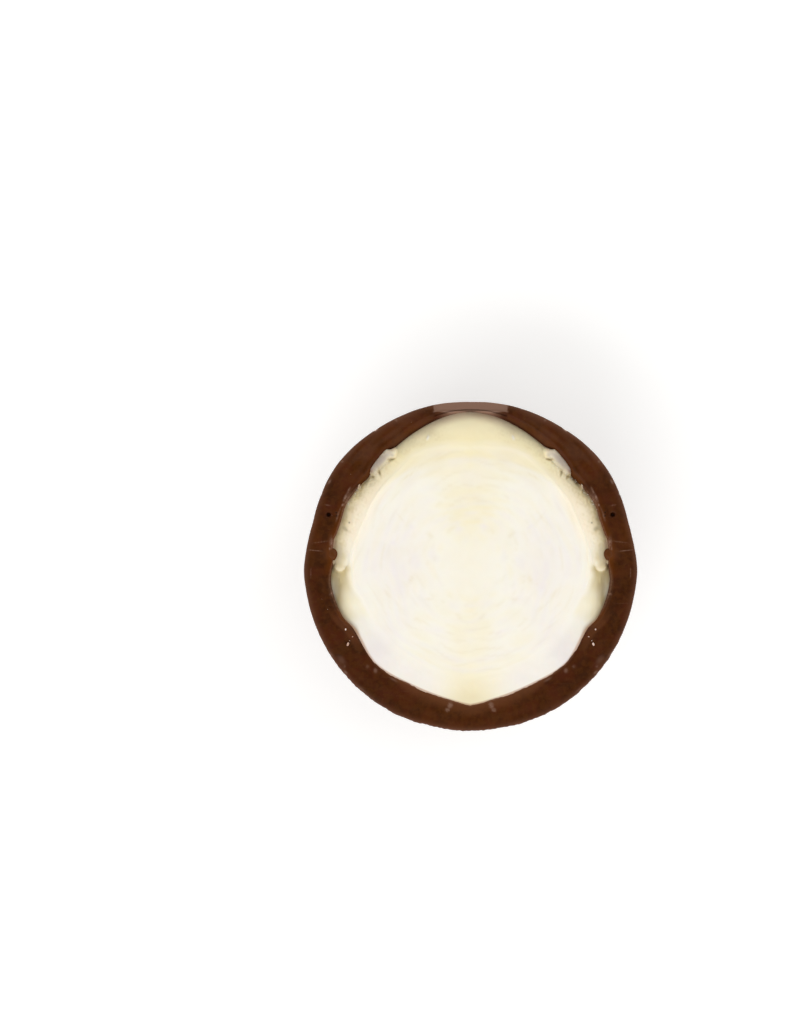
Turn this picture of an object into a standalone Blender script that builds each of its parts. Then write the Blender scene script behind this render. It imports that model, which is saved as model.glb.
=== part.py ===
"""Half of a filled chocolate ball, cut through the middle and lying on its dome with the cut face up.

The cut face is level. The clock angle runs round it from +Y (0 degrees) to +X (90 degrees), and the left
side repeats the right. The origin is the middle of the small flat foot under the dome. Lengths are in metres.
"""

import math
import random

import bmesh
import bpy
from mathutils import Vector

MM = 0.001

# Driving dimensions of the ball
BALL_RADIUS = 14.0 * MM
BALL_HALF_DEPTH = 12.9 * MM
FOOT_DEPTH = 0.1 * MM  # how much of the dome's tip the flat foot takes off
CUT_HEIGHT = BALL_HALF_DEPTH - FOOT_DEPTH
WALL_AT_BOTTOM = 2.5 * MM
BOWL_DEPTH = BALL_HALF_DEPTH - WALL_AT_BOTTOM
BROAD_SWELL = 0.1 * MM  # uneven swelling of the moulded dome
SWELLS_ROUND = 3

# The rim: a worn outer edge, and a shallow chip that flattens it at the top
EDGE_WEAR = 0.18 * MM
CHIP_HALF_ANGLE = 13.5
CHIP_DEPTH = 0.15 * MM

# The filling: how far it stays clear of the shell, and the smooth disc that the knife left
FILLING_GAP = 0.25 * MM
DISC_RADIUS = 9.85 * MM
DISC_DROP = 0.12 * MM
DISC_CROWN = 0.08 * MM  # how much higher the middle of the disc is than its edge
DISC_ROLL = 0.06 * MM  # the rolled ridge just inside the disc's edge
SLOPE_POWER = 1.4

# The bead of chocolate that the moulding seam squeezed into the filling
BEAD_RADIUS = 0.5 * MM
BEAD_CLOCK = 85
BEAD_DROP = 0.4 * MM

SEGMENTS = 120
DOME_RINGS = 13
BOWL_RINGS = 9
SLOPE_RINGS = 6
DISC_RINGS = 5

# Profiles: pairs of clock angle in degrees and value in millimetres, the same on both sides of the cut face
OUTER_SWELL = (
    (0, -0.13), (12, -0.04), (22, 0.02), (40, 0.13), (54, 0.18), (66, -0.05), (75, -0.16),
    (84, -0.06), (91, 0.09), (100, 0.04), (125, 0.0), (150, 0.0), (168, -0.12), (180, -0.13),
)
WALL = (
    (0, 0.86), (10, 1.2), (20, 1.65), (32, 2.15), (50, 2.65), (62, 2.33), (80, 2.15), (90, 2.45),
    (97, 2.3), (108, 2.4), (119, 2.8), (135, 2.4), (152, 2.7), (168, 2.5), (180, 2.1),
)
LIP_DROP = 0.3 * MM  # the lip slopes down to the bowl by this, and by a share of its width
LIP_SLOPE = 0.6
LIP_WIDTH = (
    (0, 0.12), (14, 0.55), (32, 0.75), (50, 0.6), (62, 0.3), (80, 0.15), (95, 0.2),
    (112, 0.4), (126, 0.55), (140, 0.35), (160, 0.4), (180, 0.5),
)
FILLING_DROP = (
    (0, 1.1), (25, 1.0), (45, 0.8), (62, 0.65), (80, 0.5), (90, 0.7), (98, 1.3), (108, 1.2),
    (119, 0.5), (135, 0.3), (160, 0.3), (180, 0.4),
)

# Scraps of torn cream that stand on the filling's edge, on each side of the cut face: where they start and
# end by the clock in degrees, then in millimetres their inset from the filling's edge, their width, how high
# they stand over the cut face and how far they lean outwards
SCRAPS = {
    "curl": (31, 43, 0.1, 0.65, 0.0, 0.4),
    "shard": (44, 50, 0.1, 0.4, -0.3, 0.25),
    "tooth": (55, 59, 0.1, 0.45, -0.25, 0.15),
    "flap": (65, 92, 0.1, 0.85, -0.25, 0.0),
}
SCRAP_ROOT = 0.3 * MM  # how deep a scrap is rooted in the filling
SCRAP_STEP = 1.6  # degrees between its sections
SCRAP_TEAR = 0.3  # how much its width and height vary
SCRAP_END = 0.45  # how much of them is left at its two ends
SCRAP_SEED = 7

# Colours of the two foods
CHOCOLATE_COLOUR = (0.075, 0.028, 0.012)
CHOCOLATE_ROUGHNESS = 0.4
CREAM_COLOUR = (0.88, 0.82, 0.66)
CREAM_ROUGHNESS = 0.5


def along(profile, clock):
    """Reads the smooth curve through a profile's pairs at a clock angle on either side, in metres."""
    side = min(clock % 360, -clock % 360)
    angles = [angle for angle, _ in profile]
    values = [value for _, value in profile]
    last = len(profile) - 1
    slopes = []
    for i in range(len(profile)):
        before, after = max(i - 1, 0), min(i + 1, last)
        slopes.append((values[after] - values[before]) / (angles[after] - angles[before]))
    i = min(max(sum(angle <= side for angle in angles) - 1, 0), last - 1)
    span = angles[i + 1] - angles[i]
    t = (side - angles[i]) / span
    start = (1 + 2 * t) * (1 - t) ** 2 * values[i] + t * (1 - t) ** 2 * span * slopes[i]
    end = t * t * (3 - 2 * t) * values[i + 1] - t * t * (1 - t) * span * slopes[i + 1]
    return (start + end) * MM


def outer_radius(clock):
    """Radius of the shell's outer edge on the cut face."""
    return BALL_RADIUS + along(OUTER_SWELL, clock)


def cavity_radius(clock):
    """Radius of the shell's inner wall where the filling meets it."""
    return outer_radius(clock) - along(WALL, clock)


def rim_height(clock):
    """Height of the cut face, lower in the chip at the top of the rim."""
    in_chip = min(clock % 360, -clock % 360) < CHIP_HALF_ANGLE
    return CUT_HEIGHT - (CHIP_DEPTH if in_chip else 0)


def at_clock(clock, radius, height):
    """The point at a clock angle, a radius and a height."""
    turn = math.radians(clock)
    return Vector((radius * math.sin(turn), radius * math.cos(turn), height))


def ring(radius_of, height_of):
    """One closed ring of points, with the radius and the height given as functions of the clock angle."""
    clocks = [360 * step / SEGMENTS for step in range(SEGMENTS)]
    return [at_clock(clock, radius_of(clock), height_of(clock)) for clock in clocks]


def dome_ring(polar):
    """A ring of the outer dome, at a polar angle in radians from the tip."""

    def radius(clock):
        rim_swell = along(OUTER_SWELL, clock) * math.sin(polar) ** 3
        waves = math.sin(SWELLS_ROUND * math.radians(clock)) * math.sin(2 * polar)
        broad_swell = BROAD_SWELL * waves * math.sin(polar)
        return (BALL_RADIUS + rim_swell + broad_swell) * math.sin(polar)

    height = BALL_HALF_DEPTH * (1 - math.cos(polar)) - FOOT_DEPTH
    return ring(radius, lambda clock: height)


def shell_rings():
    """Rings of the shell, from the foot up the dome, over the rim and down the bowl."""
    foot_polar = math.acos(1 - FOOT_DEPTH / BALL_HALF_DEPTH)
    foot_radius = BALL_RADIUS * math.sin(foot_polar)
    rings = [ring(lambda clock: foot_radius, lambda clock: 0.0)]
    for step in range(1, DOME_RINGS):
        rings.append(dome_ring(foot_polar + (math.pi / 2 - foot_polar) * step / DOME_RINGS))
    rings.append(ring(outer_radius, lambda clock: rim_height(clock) - EDGE_WEAR))
    rings.append(ring(lambda clock: outer_radius(clock) - EDGE_WEAR, rim_height))
    rings.append(ring(lambda clock: cavity_radius(clock) + along(LIP_WIDTH, clock), rim_height))
    for step in range(BOWL_RINGS):
        rings.append(bowl_ring(step / BOWL_RINGS, 0.0, lip_foot))
    return rings


def lip_foot(clock):
    """How far below the cut face the sloping lip meets the bowl's wall."""
    return LIP_DROP + LIP_SLOPE * along(LIP_WIDTH, clock)


def filling_foot(clock):
    """How far below the cut face the filling's edge lies."""
    return along(FILLING_DROP, clock)


def bowl_ring(share, gap, top_drop):
    """A ring of the bowl, at a share of the way from its top edge (0) to its tip (1), inside it by a gap."""
    depth = BOWL_DEPTH - gap

    def polar(clock):
        return math.acos(top_drop(clock) / depth) * (1 - share)

    def radius(clock):
        return (cavity_radius(clock) - gap) * math.sin(polar(clock))

    return ring(radius, lambda clock: CUT_HEIGHT - depth * math.cos(polar(clock)))


def filling_height(clock, share):
    """Height of the slope between the disc's edge (share 0) and the filling's edge (share 1)."""
    return CUT_HEIGHT - DISC_DROP - (filling_foot(clock) - DISC_DROP) * share**SLOPE_POWER


def filling_edge(clock):
    """Radius of the filling's top edge."""
    depth = BOWL_DEPTH - FILLING_GAP
    polar = math.acos(filling_foot(clock) / depth)
    return (cavity_radius(clock) - FILLING_GAP) * math.sin(polar)


def filling_rings():
    """Rings of the filling, from the bottom of the bowl up its side and in over the slope and the disc."""
    rings = []
    for step in range(BOWL_RINGS - 1, -1, -1):
        rings.append(bowl_ring(step / BOWL_RINGS, FILLING_GAP, filling_foot))
    for step in range(SLOPE_RINGS - 1, -1, -1):
        share = step / SLOPE_RINGS
        rings.append(
            ring(
                lambda clock, s=share: DISC_RADIUS + (filling_edge(clock) - DISC_RADIUS) * s,
                lambda clock, s=share: filling_height(clock, s),
            )
        )
    for step in range(DISC_RINGS):
        share = 1 - (step + 0.5) / (DISC_RINGS + 0.5)
        roll = DISC_ROLL if step == 0 else 0.0
        height = CUT_HEIGHT - DISC_DROP + roll + DISC_CROWN * (1 - share**2)
        rings.append(ring(lambda clock, s=share: DISC_RADIUS * s, lambda clock, h=height: h))
    return rings


def solid_of_rings(name, rings, first_tip, last_tip, material):
    """A closed solid through the rings in turn, with a tip at both ends."""
    shape = bmesh.new()
    loops = [[shape.verts.new(point) for point in points] for points in rings]
    for lower, upper in zip(loops, loops[1:]):
        for k in range(SEGMENTS):
            j = (k + 1) % SEGMENTS
            shape.faces.new((lower[k], lower[j], upper[j], upper[k]))
    for loop, tip in ((loops[0], first_tip), (loops[-1], last_tip)):
        point = shape.verts.new(tip)
        for k in range(SEGMENTS):
            shape.faces.new((loop[k], loop[(k + 1) % SEGMENTS], point))
    return finished(name, shape, material)


def finished(name, shape, material):
    """Turns a shape into a named object with smooth, outward faces."""
    bmesh.ops.recalc_face_normals(shape, faces=shape.faces)
    mesh = bpy.data.meshes.new(name)
    shape.to_mesh(mesh)
    shape.free()
    mesh.shade_smooth()
    mesh.materials.append(material)
    obj = bpy.data.objects.new(name, mesh)
    bpy.context.scene.collection.objects.link(obj)
    return obj


def seam_beads(radius, material):
    """A bead on the shell's wall at each end of the moulding seam."""
    beads = []
    for side in (-1, 1):
        clock = side * BEAD_CLOCK
        shape = bmesh.new()
        bmesh.ops.create_icosphere(shape, subdivisions=2, radius=radius)
        centre = at_clock(clock, cavity_radius(clock), CUT_HEIGHT - BEAD_DROP)
        bmesh.ops.translate(shape, vec=centre, verts=shape.verts)
        beads.append(finished(f"bead{side}", shape, material))
    return beads


def torn_scrap(name, side, scrap, material):
    """A jagged strip of cream that stands on the filling's edge, as sections joined in a row."""
    start, end, inset, width, top, lean = scrap
    draw = random.Random(SCRAP_SEED)
    steps = max(2, round((end - start) / SCRAP_STEP))
    shape = bmesh.new()
    sections = []
    for step in range(steps + 1):
        clock = start + (end - start) * step / steps
        taper = 1.0 if 0 < step < steps else SCRAP_END
        tear = taper * (1 - SCRAP_TEAR * draw.random())
        outer = filling_edge(clock) - inset * MM
        inner = outer - width * MM * tear
        foot = CUT_HEIGHT - filling_foot(clock)
        height = foot + (CUT_HEIGHT + top * MM - foot) * tear
        corners = (
            (inner, foot - SCRAP_ROOT),
            (outer, foot - SCRAP_ROOT),
            (outer + lean * MM * tear, height),
            (inner + (outer - inner) * (1 - tear), height),
        )
        sections.append([shape.verts.new(at_clock(side * clock, *corner)) for corner in corners])
    for before, after in zip(sections, sections[1:]):
        for k in range(4):
            j = (k + 1) % 4
            shape.faces.new((before[k], before[j], after[j], after[k]))
    shape.faces.new(sections[0])
    shape.faces.new(sections[-1])
    return finished(f"{name}{side}", shape, material)


def cream_scraps(material):
    """The torn scraps on both sides of the filling's edge."""
    return [
        torn_scrap(name, side, scrap, material)
        for name, scrap in SCRAPS.items()
        for side in (-1, 1)
    ]


def combine(obj, others, operation):
    """Joins the other objects to this one, or cuts them from it, and removes them."""
    helpers = bpy.data.collections.new(f"{obj.name}_{operation.lower()}")
    bpy.context.scene.collection.children.link(helpers)
    for other in others:
        bpy.context.scene.collection.objects.unlink(other)
        helpers.objects.link(other)
    modifier = obj.modifiers.new(operation, "BOOLEAN")
    modifier.operation = operation
    modifier.operand_type = "COLLECTION"
    modifier.collection = helpers
    modifier.solver = "EXACT"
    graph = bpy.context.evaluated_depsgraph_get()
    joined = bpy.data.meshes.new_from_object(obj.evaluated_get(graph))
    obj.modifiers.clear()
    obj.data = joined
    for other in others:
        bpy.data.objects.remove(other)
    bpy.data.collections.remove(helpers)


def plain_material(name, colour, roughness):
    """A material of one colour and roughness."""
    material = bpy.data.materials.new(name)
    material.use_nodes = True
    shader = material.node_tree.nodes["Principled BSDF"]
    shader.inputs["Base Color"].default_value = (*colour, 1.0)
    shader.inputs["Roughness"].default_value = roughness
    shader.inputs["Metallic"].default_value = 0.0
    return material


def build_shell():
    """The chocolate shell: a dome with a bowl in it, a sloping lip and the two seam beads."""
    chocolate = plain_material("chocolate", CHOCOLATE_COLOUR, CHOCOLATE_ROUGHNESS)
    bowl_floor = Vector((0, 0, CUT_HEIGHT - BOWL_DEPTH))
    shell = solid_of_rings("shell", shell_rings(), Vector((0, 0, 0)), bowl_floor, chocolate)
    combine(shell, seam_beads(BEAD_RADIUS, chocolate), "UNION")


def build_filling():
    """The cream filling: it fits the bowl, slopes down round its disc and has torn scraps on its edge."""
    cream = plain_material("cream", CREAM_COLOUR, CREAM_ROUGHNESS)
    floor = Vector((0, 0, CUT_HEIGHT - BOWL_DEPTH + FILLING_GAP))
    crown = Vector((0, 0, CUT_HEIGHT - DISC_DROP + DISC_CROWN))
    filling = solid_of_rings("filling", filling_rings(), floor, crown, cream)
    combine(filling, cream_scraps(cream), "UNION")
    combine(filling, seam_beads(BEAD_RADIUS + FILLING_GAP, cream), "DIFFERENCE")


def main():
    """Clears the scene and builds the half ball."""
    for obj in list(bpy.data.objects):
        bpy.data.objects.remove(obj)
    build_shell()
    build_filling()


main()
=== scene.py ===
"""The looks of half a filled chocolate ball that lies on its dome with the cut face up.

Places on the cut face are given in millimetres: "side" is the distance from the mirror line, the same to the
left and to the right, and "up" runs towards the pointed top of the filling's outline. Round the cut face, a
clock angle runs from the top (0 degrees) down either side (180 degrees at the bottom). Heights are measured
from the cut face, and points are turned into metres when they go into a mesh.
"""

import logging
import math
from dataclasses import dataclass
from enum import Enum

import bmesh
import bpy
import numpy as np
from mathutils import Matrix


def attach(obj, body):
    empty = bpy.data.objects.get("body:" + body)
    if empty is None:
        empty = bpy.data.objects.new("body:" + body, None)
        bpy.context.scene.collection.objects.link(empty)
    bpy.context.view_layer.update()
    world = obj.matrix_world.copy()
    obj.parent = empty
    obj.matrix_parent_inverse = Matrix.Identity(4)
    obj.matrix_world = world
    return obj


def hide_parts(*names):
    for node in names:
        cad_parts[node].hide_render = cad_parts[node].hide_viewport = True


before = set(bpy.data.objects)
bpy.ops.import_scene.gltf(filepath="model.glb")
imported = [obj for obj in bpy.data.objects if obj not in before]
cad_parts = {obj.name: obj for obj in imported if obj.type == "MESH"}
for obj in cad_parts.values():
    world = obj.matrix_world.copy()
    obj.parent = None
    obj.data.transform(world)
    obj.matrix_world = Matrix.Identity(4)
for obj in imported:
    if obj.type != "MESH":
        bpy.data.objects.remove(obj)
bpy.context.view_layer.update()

log = logging.getLogger("praline")

MM = 0.001
WELD = 0.0008 * MM
BODY = "root"

Array = np.ndarray
Colour = tuple[float, ...]
Material = bpy.types.Material
Mesh = bpy.types.Mesh
Node = bpy.types.Node
Object = bpy.types.Object
Socket = bpy.types.NodeSocket
Tree = bpy.types.NodeTree


def srgb(*channels: int) -> Colour:
    """Turns a colour as it looks on a screen, from 0 to 255, into the linear values that a shader takes."""
    shares = (channel / 255 for channel in channels)
    return (*(s / 12.92 if s <= 0.04045 else ((s + 0.055) / 1.055) ** 2.4 for s in shares), 1.0)


def ease(value: Array, start: float, end: float) -> Array:
    """Rises smoothly from 0 to 1 as a value goes from start to end, which may be the lower one."""
    share = np.clip((value - start) / (end - start), 0, 1)
    return share * share * (3 - 2 * share)


def window(value: Array, start: float, full: float, fade: float, end: float) -> Array:
    """Rises smoothly from 0 to 1 between start and full, and falls again between fade and end."""
    return ease(value, start, full) * ease(value, end, fade)


def bell(value: Array, middle: float, width: float) -> Array:
    """A hump that is 1 at its middle and dies away over its width."""
    return np.exp(-(((value - middle) / width) ** 2))


def blended(first: Array, second: Array, reach: float) -> Array:
    """Takes the higher of two heights, and rounds the corner where they come closer than the reach."""
    close = np.clip(reach - np.abs(first - second), 0, reach) / reach
    return np.maximum(first, second) + close * close * reach / 4


class Slot(Enum):
    """The record's material slots."""

    CHOCOLATE = "chocolate"
    CREAM = "cream"


class Kind(Enum):
    """Kinds of node tree."""

    SHADER = "ShaderNodeTree"
    GEOMETRY = "GeometryNodeTree"


class Value:
    """A value in a node tree, which formulas can be written with."""

    def __init__(self, sheet: "Sheet", socket: Socket) -> None:
        """Takes the socket that gives the value."""
        self.sheet, self.socket = sheet, socket

    def __add__(self, other: object) -> "Value":
        """Adds another value."""
        return self.sheet.math("ADD", self, other)

    def __sub__(self, other: object) -> "Value":
        """Takes another value from this one."""
        return self.sheet.math("SUBTRACT", self, other)

    def __rsub__(self, other: object) -> "Value":
        """Takes this value from another."""
        return self.sheet.math("SUBTRACT", other, self)

    def __mul__(self, other: object) -> "Value":
        """Multiplies by another value."""
        return self.sheet.math("MULTIPLY", self, other)

    def __truediv__(self, other: object) -> "Value":
        """Divides by another value."""
        return self.sheet.math("DIVIDE", self, other)

    def __rtruediv__(self, other: object) -> "Value":
        """Divides another value by this one."""
        return self.sheet.math("DIVIDE", other, self)


class Sheet:
    """Adds nodes to a node tree, and sets or links their inputs."""

    def __init__(self, tree: Tree) -> None:
        """Takes the tree that the nodes go into."""
        self.tree = tree

    def put(self, socket: Socket, value: object) -> None:
        """Links a value or a socket into an input, or sets the input to something fixed.

        Args:
            socket: The input.
            value: What goes into it.
        """
        source = getattr(value, "socket", value)
        if isinstance(source, Socket):
            self.tree.links.new(source, socket)
        else:
            socket.default_value = source

    def node(self, kind: str, inputs: dict | None = None, **settings: object) -> Node:
        """Adds one node.

        Args:
            kind: The node's type.
            inputs: Values or sockets for its inputs, by name or by place.
            settings: The node's own settings.

        Returns:
            The node.
        """
        made = self.tree.nodes.new(kind)
        for name, value in settings.items():
            setattr(made, name, value)
        for key, value in (inputs or {}).items():
            self.put(made.inputs[key], value)
        return made

    def value(self, kind: str, inputs: dict | None = None, output: object = 0, **settings: object) -> Value:
        """Adds one node and gives one of its outputs, by place or by name."""
        return Value(self, self.node(kind, inputs, **settings).outputs[output])

    def feed(self, node: Node, **values: object) -> None:
        """Puts values into a node's inputs, by name with _ for a space."""
        for key, value in values.items():
            self.put(node.inputs[key.replace("_", " ")], value)

    def math(self, operation: str, *values: object) -> Value:
        """Works something out from values in order."""
        return self.value("ShaderNodeMath", dict(enumerate(values)), operation=operation)

    def vector(self, x: object, y: object, z: object) -> Value:
        """Puts three values together."""
        return self.value("ShaderNodeCombineXYZ", {0: x, 1: y, 2: z})

    def noise(self, place: Value, scale: object, detail: float = 3.0, twist: float = 0.0) -> Value:
        """Reads a noise at a place, with a scale in lumps for each unit of length."""
        inputs = {"Vector": place, "Scale": scale, "Detail": detail, "Distortion": twist}
        return self.value("ShaderNodeTexNoise", inputs)

    def between(
        self, value: object, low: float, high: float, to_low: float = 0.0, to_high: float = 1.0
    ) -> Value:
        """Maps values from low to high smoothly to another range."""
        inputs = {"Value": value, "From Min": low, "From Max": high, "To Min": to_low, "To Max": to_high}
        return self.value("ShaderNodeMapRange", inputs, interpolation_type="SMOOTHSTEP")

    def carried(self, name: str) -> Value:
        """Reads a number that the points of a geometry carry."""
        return self.value("GeometryNodeInputNamedAttribute", {"Name": name}, data_type="FLOAT")

    def random(self, low: float, high: float, seed: object) -> Value:
        """Draws a number for each point."""
        return self.value("FunctionNodeRandomValue", {2: low, 3: high, "Seed": seed}, 1, data_type="FLOAT")

    def group(self, tree: Tree, **inputs: object) -> dict[str, Value]:
        """Places a node group with its own values, and gives what it puts out by name."""
        placed = self.node("ShaderNodeGroup", inputs, node_tree=tree)
        return {output.name: Value(self, output) for output in placed.outputs}

    def millimetres(self) -> Value:
        """Places on a piece in millimetres."""
        place = self.value("ShaderNodeTexCoord", output="Object")
        return self.value("ShaderNodeVectorMath", {0: place, 1: (1 / MM,) * 3}, operation="MULTIPLY")

    def layered(self, base: Colour, *layers: tuple[object, Colour]) -> object:
        """Lays colours over a base in turn.

        Args:
            base: The colour below.
            layers: Masks, or names of masks that the mesh carries, each with its colour.

        Returns:
            The finished colour.
        """
        for mask, colour in layers:
            if isinstance(mask, str):
                mask = self.value("ShaderNodeAttribute", output="Fac", attribute_name=mask)
            base = self.value("ShaderNodeMix", {0: mask, 6: base, 7: colour}, 2, data_type="RGBA")
        return base

    def relief(self, height: Value, depth: float, strength: float) -> Value:
        """Turns heights into fine relief of a depth in millimetres."""
        inputs = {"Height": height, "Distance": depth * MM, "Strength": strength}
        return self.value("ShaderNodeBump", inputs)

    def finished(self, out: Node, shape: object, material: object) -> Tree:
        """Ends a geometry tree.

        Args:
            out: The tree's output node.
            shape: The geometry, which may hold instances.
            material: Its material.

        Returns:
            The tree.
        """
        real = self.value("GeometryNodeRealizeInstances", {"Geometry": shape})
        dressed = self.value("GeometryNodeSetMaterial", {"Geometry": real, "Material": material})
        self.put(out.inputs[0], dressed)
        return self.tree


def new_tree(
    name: str, kind: Kind, inputs: dict[str, str], outputs: dict[str, str]
) -> tuple[Sheet, dict[str, Value], Node]:
    """Makes an empty node group with named sockets.

    Args:
        name: The group's name.
        kind: What the group works on.
        inputs: What each input takes, by name.
        outputs: What each output gives, by name.

    Returns:
        The sheet, the inputs' values by name and the output node.
    """
    tree = bpy.data.node_groups.new(name, kind.value)
    for way, sockets in (("INPUT", inputs), ("OUTPUT", outputs)):
        for socket, content in sockets.items():
            tree.interface.new_socket(socket, in_out=way, socket_type="NodeSocket" + content)
    sheet, source = Sheet(tree), tree.nodes.new("NodeGroupInput")
    given = {name: Value(sheet, source.outputs[name]) for name in inputs}
    return sheet, given, tree.nodes.new("NodeGroupOutput")


def placed(name: str, data: bpy.types.ID) -> Object:
    """Puts an object with its data into the scene.

    Args:
        name: The object's name.
        data: Its mesh, light or camera.

    Returns:
        The object.
    """
    made = bpy.data.objects.new(name, data)
    bpy.context.scene.collection.objects.link(made)
    return made


def grown(tree: Tree, base: Mesh, values: dict) -> Mesh:
    """Runs a Geometry Nodes tree on a mesh and keeps the result as a plain mesh.

    Args:
        tree: The tree, whose first input is the geometry.
        base: The mesh that it starts from.
        values: Its other inputs, by name.

    Returns:
        The finished mesh.
    """
    holder = placed("holder", base)
    modifier = holder.modifiers.new(tree.name, "NODES")
    modifier.node_group = tree
    for item in tree.interface.items_tree:
        if item.in_out == "INPUT" and item.name in values:
            modifier[item.identifier] = values[item.name]
    evaluated = holder.evaluated_get(bpy.context.evaluated_depsgraph_get())
    mesh = bpy.data.meshes.new_from_object(evaluated)
    bpy.data.objects.remove(holder)
    return mesh


def points_of(mesh: Mesh) -> Array:
    """Reads a mesh's points.

    Args:
        mesh: The mesh.

    Returns:
        Places in millimetres, by point.
    """
    flat = np.empty(len(mesh.vertices) * 3)
    mesh.vertices.foreach_get("co", flat)
    return flat.reshape(-1, 3) / MM


def move_points(mesh: Mesh, points: Array) -> None:
    """Puts a mesh's points at places in millimetres."""
    mesh.vertices.foreach_set("co", (points * MM).ravel())


def carry(mesh: Mesh, **numbers: Array) -> None:
    """Gives every point of a mesh numbers that trees and materials can read.

    Args:
        mesh: The mesh.
        numbers: One number, or one for each point, by name.
    """
    for name, values in numbers.items():
        spread = np.array(np.broadcast_to(values, len(mesh.vertices)), np.float32)
        mesh.attributes.new(name, "FLOAT", "POINT").data.foreach_set("value", spread)


def paint(mesh: Mesh, **masks: Array) -> None:
    """Gives every point of a mesh masks, by name, which are cut off at 0 and 1."""
    carry(mesh, **{name: np.clip(mask, 0, 1) for name, mask in masks.items()})


def plain_mesh(name: str, points: Array, faces: list) -> Mesh:
    """Makes a mesh of points and faces.

    Args:
        name: The mesh's name.
        points: Places in millimetres.
        faces: The points of each face, by number.

    Returns:
        The mesh.
    """
    mesh = bpy.data.meshes.new(name)
    mesh.from_pydata((np.asarray(points) * MM).tolist(), [], faces)
    return mesh


def rows_mesh(name: str, rows: Array, first_tip: Array | None, last_tip: Array | None) -> Mesh:
    """Makes a mesh through closed rows of points.

    Args:
        name: The mesh's name.
        rows: The points in millimetres, by row and by place in the row.
        first_tip: A point that closes the first row, or None to leave it open.
        last_tip: A point that closes the last row, or None to leave it open.

    Returns:
        The mesh.
    """
    index = np.arange(rows.shape[0] * rows.shape[1]).reshape(rows.shape[:2])
    following = np.roll(index, -1, axis=1)
    faces = np.stack((index[:-1], following[:-1], following[1:], index[1:]), axis=-1).reshape(-1, 4).tolist()
    points = rows.reshape(-1, 3).tolist()
    for row, tip in ((0, first_tip), (-1, last_tip)):
        if tip is not None:
            ends = np.full(rows.shape[1], len(points))
            faces += np.stack((index[row], following[row], ends), axis=-1).tolist()
            points.append(list(tip))
    return plain_mesh(name, points, faces)


def joined(name: str, *meshes: Mesh) -> Mesh:
    """Joins meshes, welds their shared points and turns their faces outwards.

    Args:
        name: The new mesh's name.
        meshes: The meshes, whose faces keep their material numbers.

    Returns:
        The joined mesh, shaded smooth.
    """
    shape = bmesh.new()
    for mesh in meshes:
        shape.from_mesh(mesh)
    bmesh.ops.remove_doubles(shape, verts=shape.verts, dist=WELD)
    bmesh.ops.recalc_face_normals(shape, faces=shape.faces)
    result = bpy.data.meshes.new(name)
    shape.to_mesh(result)
    shape.free()
    result.shade_smooth()
    return result


def piece(name: str, mesh: Mesh, replaced: str | None = None) -> Object:
    """Puts a finished mesh into the scene as a piece of the part.

    Args:
        name: The piece's name.
        mesh: Its mesh.
        replaced: The solid that it stands for, if any.

    Returns:
        The piece.
    """
    made = placed(name, mesh)
    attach(made, BODY)
    if replaced:
        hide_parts(replaced)
    log.info("%s: %d faces", name, len(mesh.polygons))
    return made


@dataclass(frozen=True)
class ClockProfile:
    """A length in millimetres that changes with the clock angle, the same on both sides."""

    pairs: tuple[tuple[float, float], ...]

    def at(self, clock: Array) -> Array:
        """Reads the smooth curve through the pairs.

        Args:
            clock: Clock angles from 0 to 180 degrees.

        Returns:
            Lengths in millimetres.
        """
        angles, values = (np.array(column, float) for column in zip(*self.pairs))
        before = np.maximum(np.arange(len(angles)) - 1, 0)
        after = np.minimum(np.arange(len(angles)) + 1, len(angles) - 1)
        slopes = (values[after] - values[before]) / (angles[after] - angles[before])
        i = np.clip(np.searchsorted(angles, clock, side="right") - 1, 0, len(angles) - 2)
        span = angles[i + 1] - angles[i]
        t = (clock - angles[i]) / span
        start = (1 + 2 * t) * (1 - t) ** 2 * values[i] + t * (1 - t) ** 2 * span * slopes[i]
        return start + t * t * (3 - 2 * t) * values[i + 1] - t * t * (1 - t) * span * slopes[i + 1]


class Ripple:
    """Smooth unevenness: sine waves that run in seeded directions."""

    def __init__(self, seed: int, wavelength: float, waves: int = 9) -> None:
        """Draws the waves.

        Args:
            seed: Seed of the draw.
            wavelength: The middle wavelength in millimetres.
            waves: How many waves there are.
        """
        draw = np.random.default_rng(seed)
        ways = draw.normal(size=(waves, 3))
        ways /= np.linalg.norm(ways, axis=1, keepdims=True)
        self.ways = ways * (2 * np.pi / (wavelength * draw.uniform(0.7, 1.5, (waves, 1))))
        self.phases = draw.uniform(0, 2 * np.pi, waves)

    def at(self, x: Array, y: Array, z: Array | float = 0.0) -> Array:
        """Reads the unevenness at places in millimetres, from about -1 to 1."""
        waves = (np.sin(a * x + b * y + c * z + phase) for (a, b, c), phase in zip(self.ways, self.phases))
        return sum(waves) / math.sqrt(len(self.phases))


@dataclass(frozen=True)
class Places:
    """Places on the cut face, in millimetres and degrees."""

    x: Array
    y: Array

    @property
    def side(self) -> Array:
        """Distance from the mirror line."""
        return np.abs(self.x)

    @property
    def radius(self) -> Array:
        """Distance from the middle."""
        return np.hypot(self.x, self.y)

    @property
    def clock(self) -> Array:
        """Clock angle from 0 at the top to 180 at the bottom."""
        return np.degrees(np.arctan2(self.side, self.y))


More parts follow.
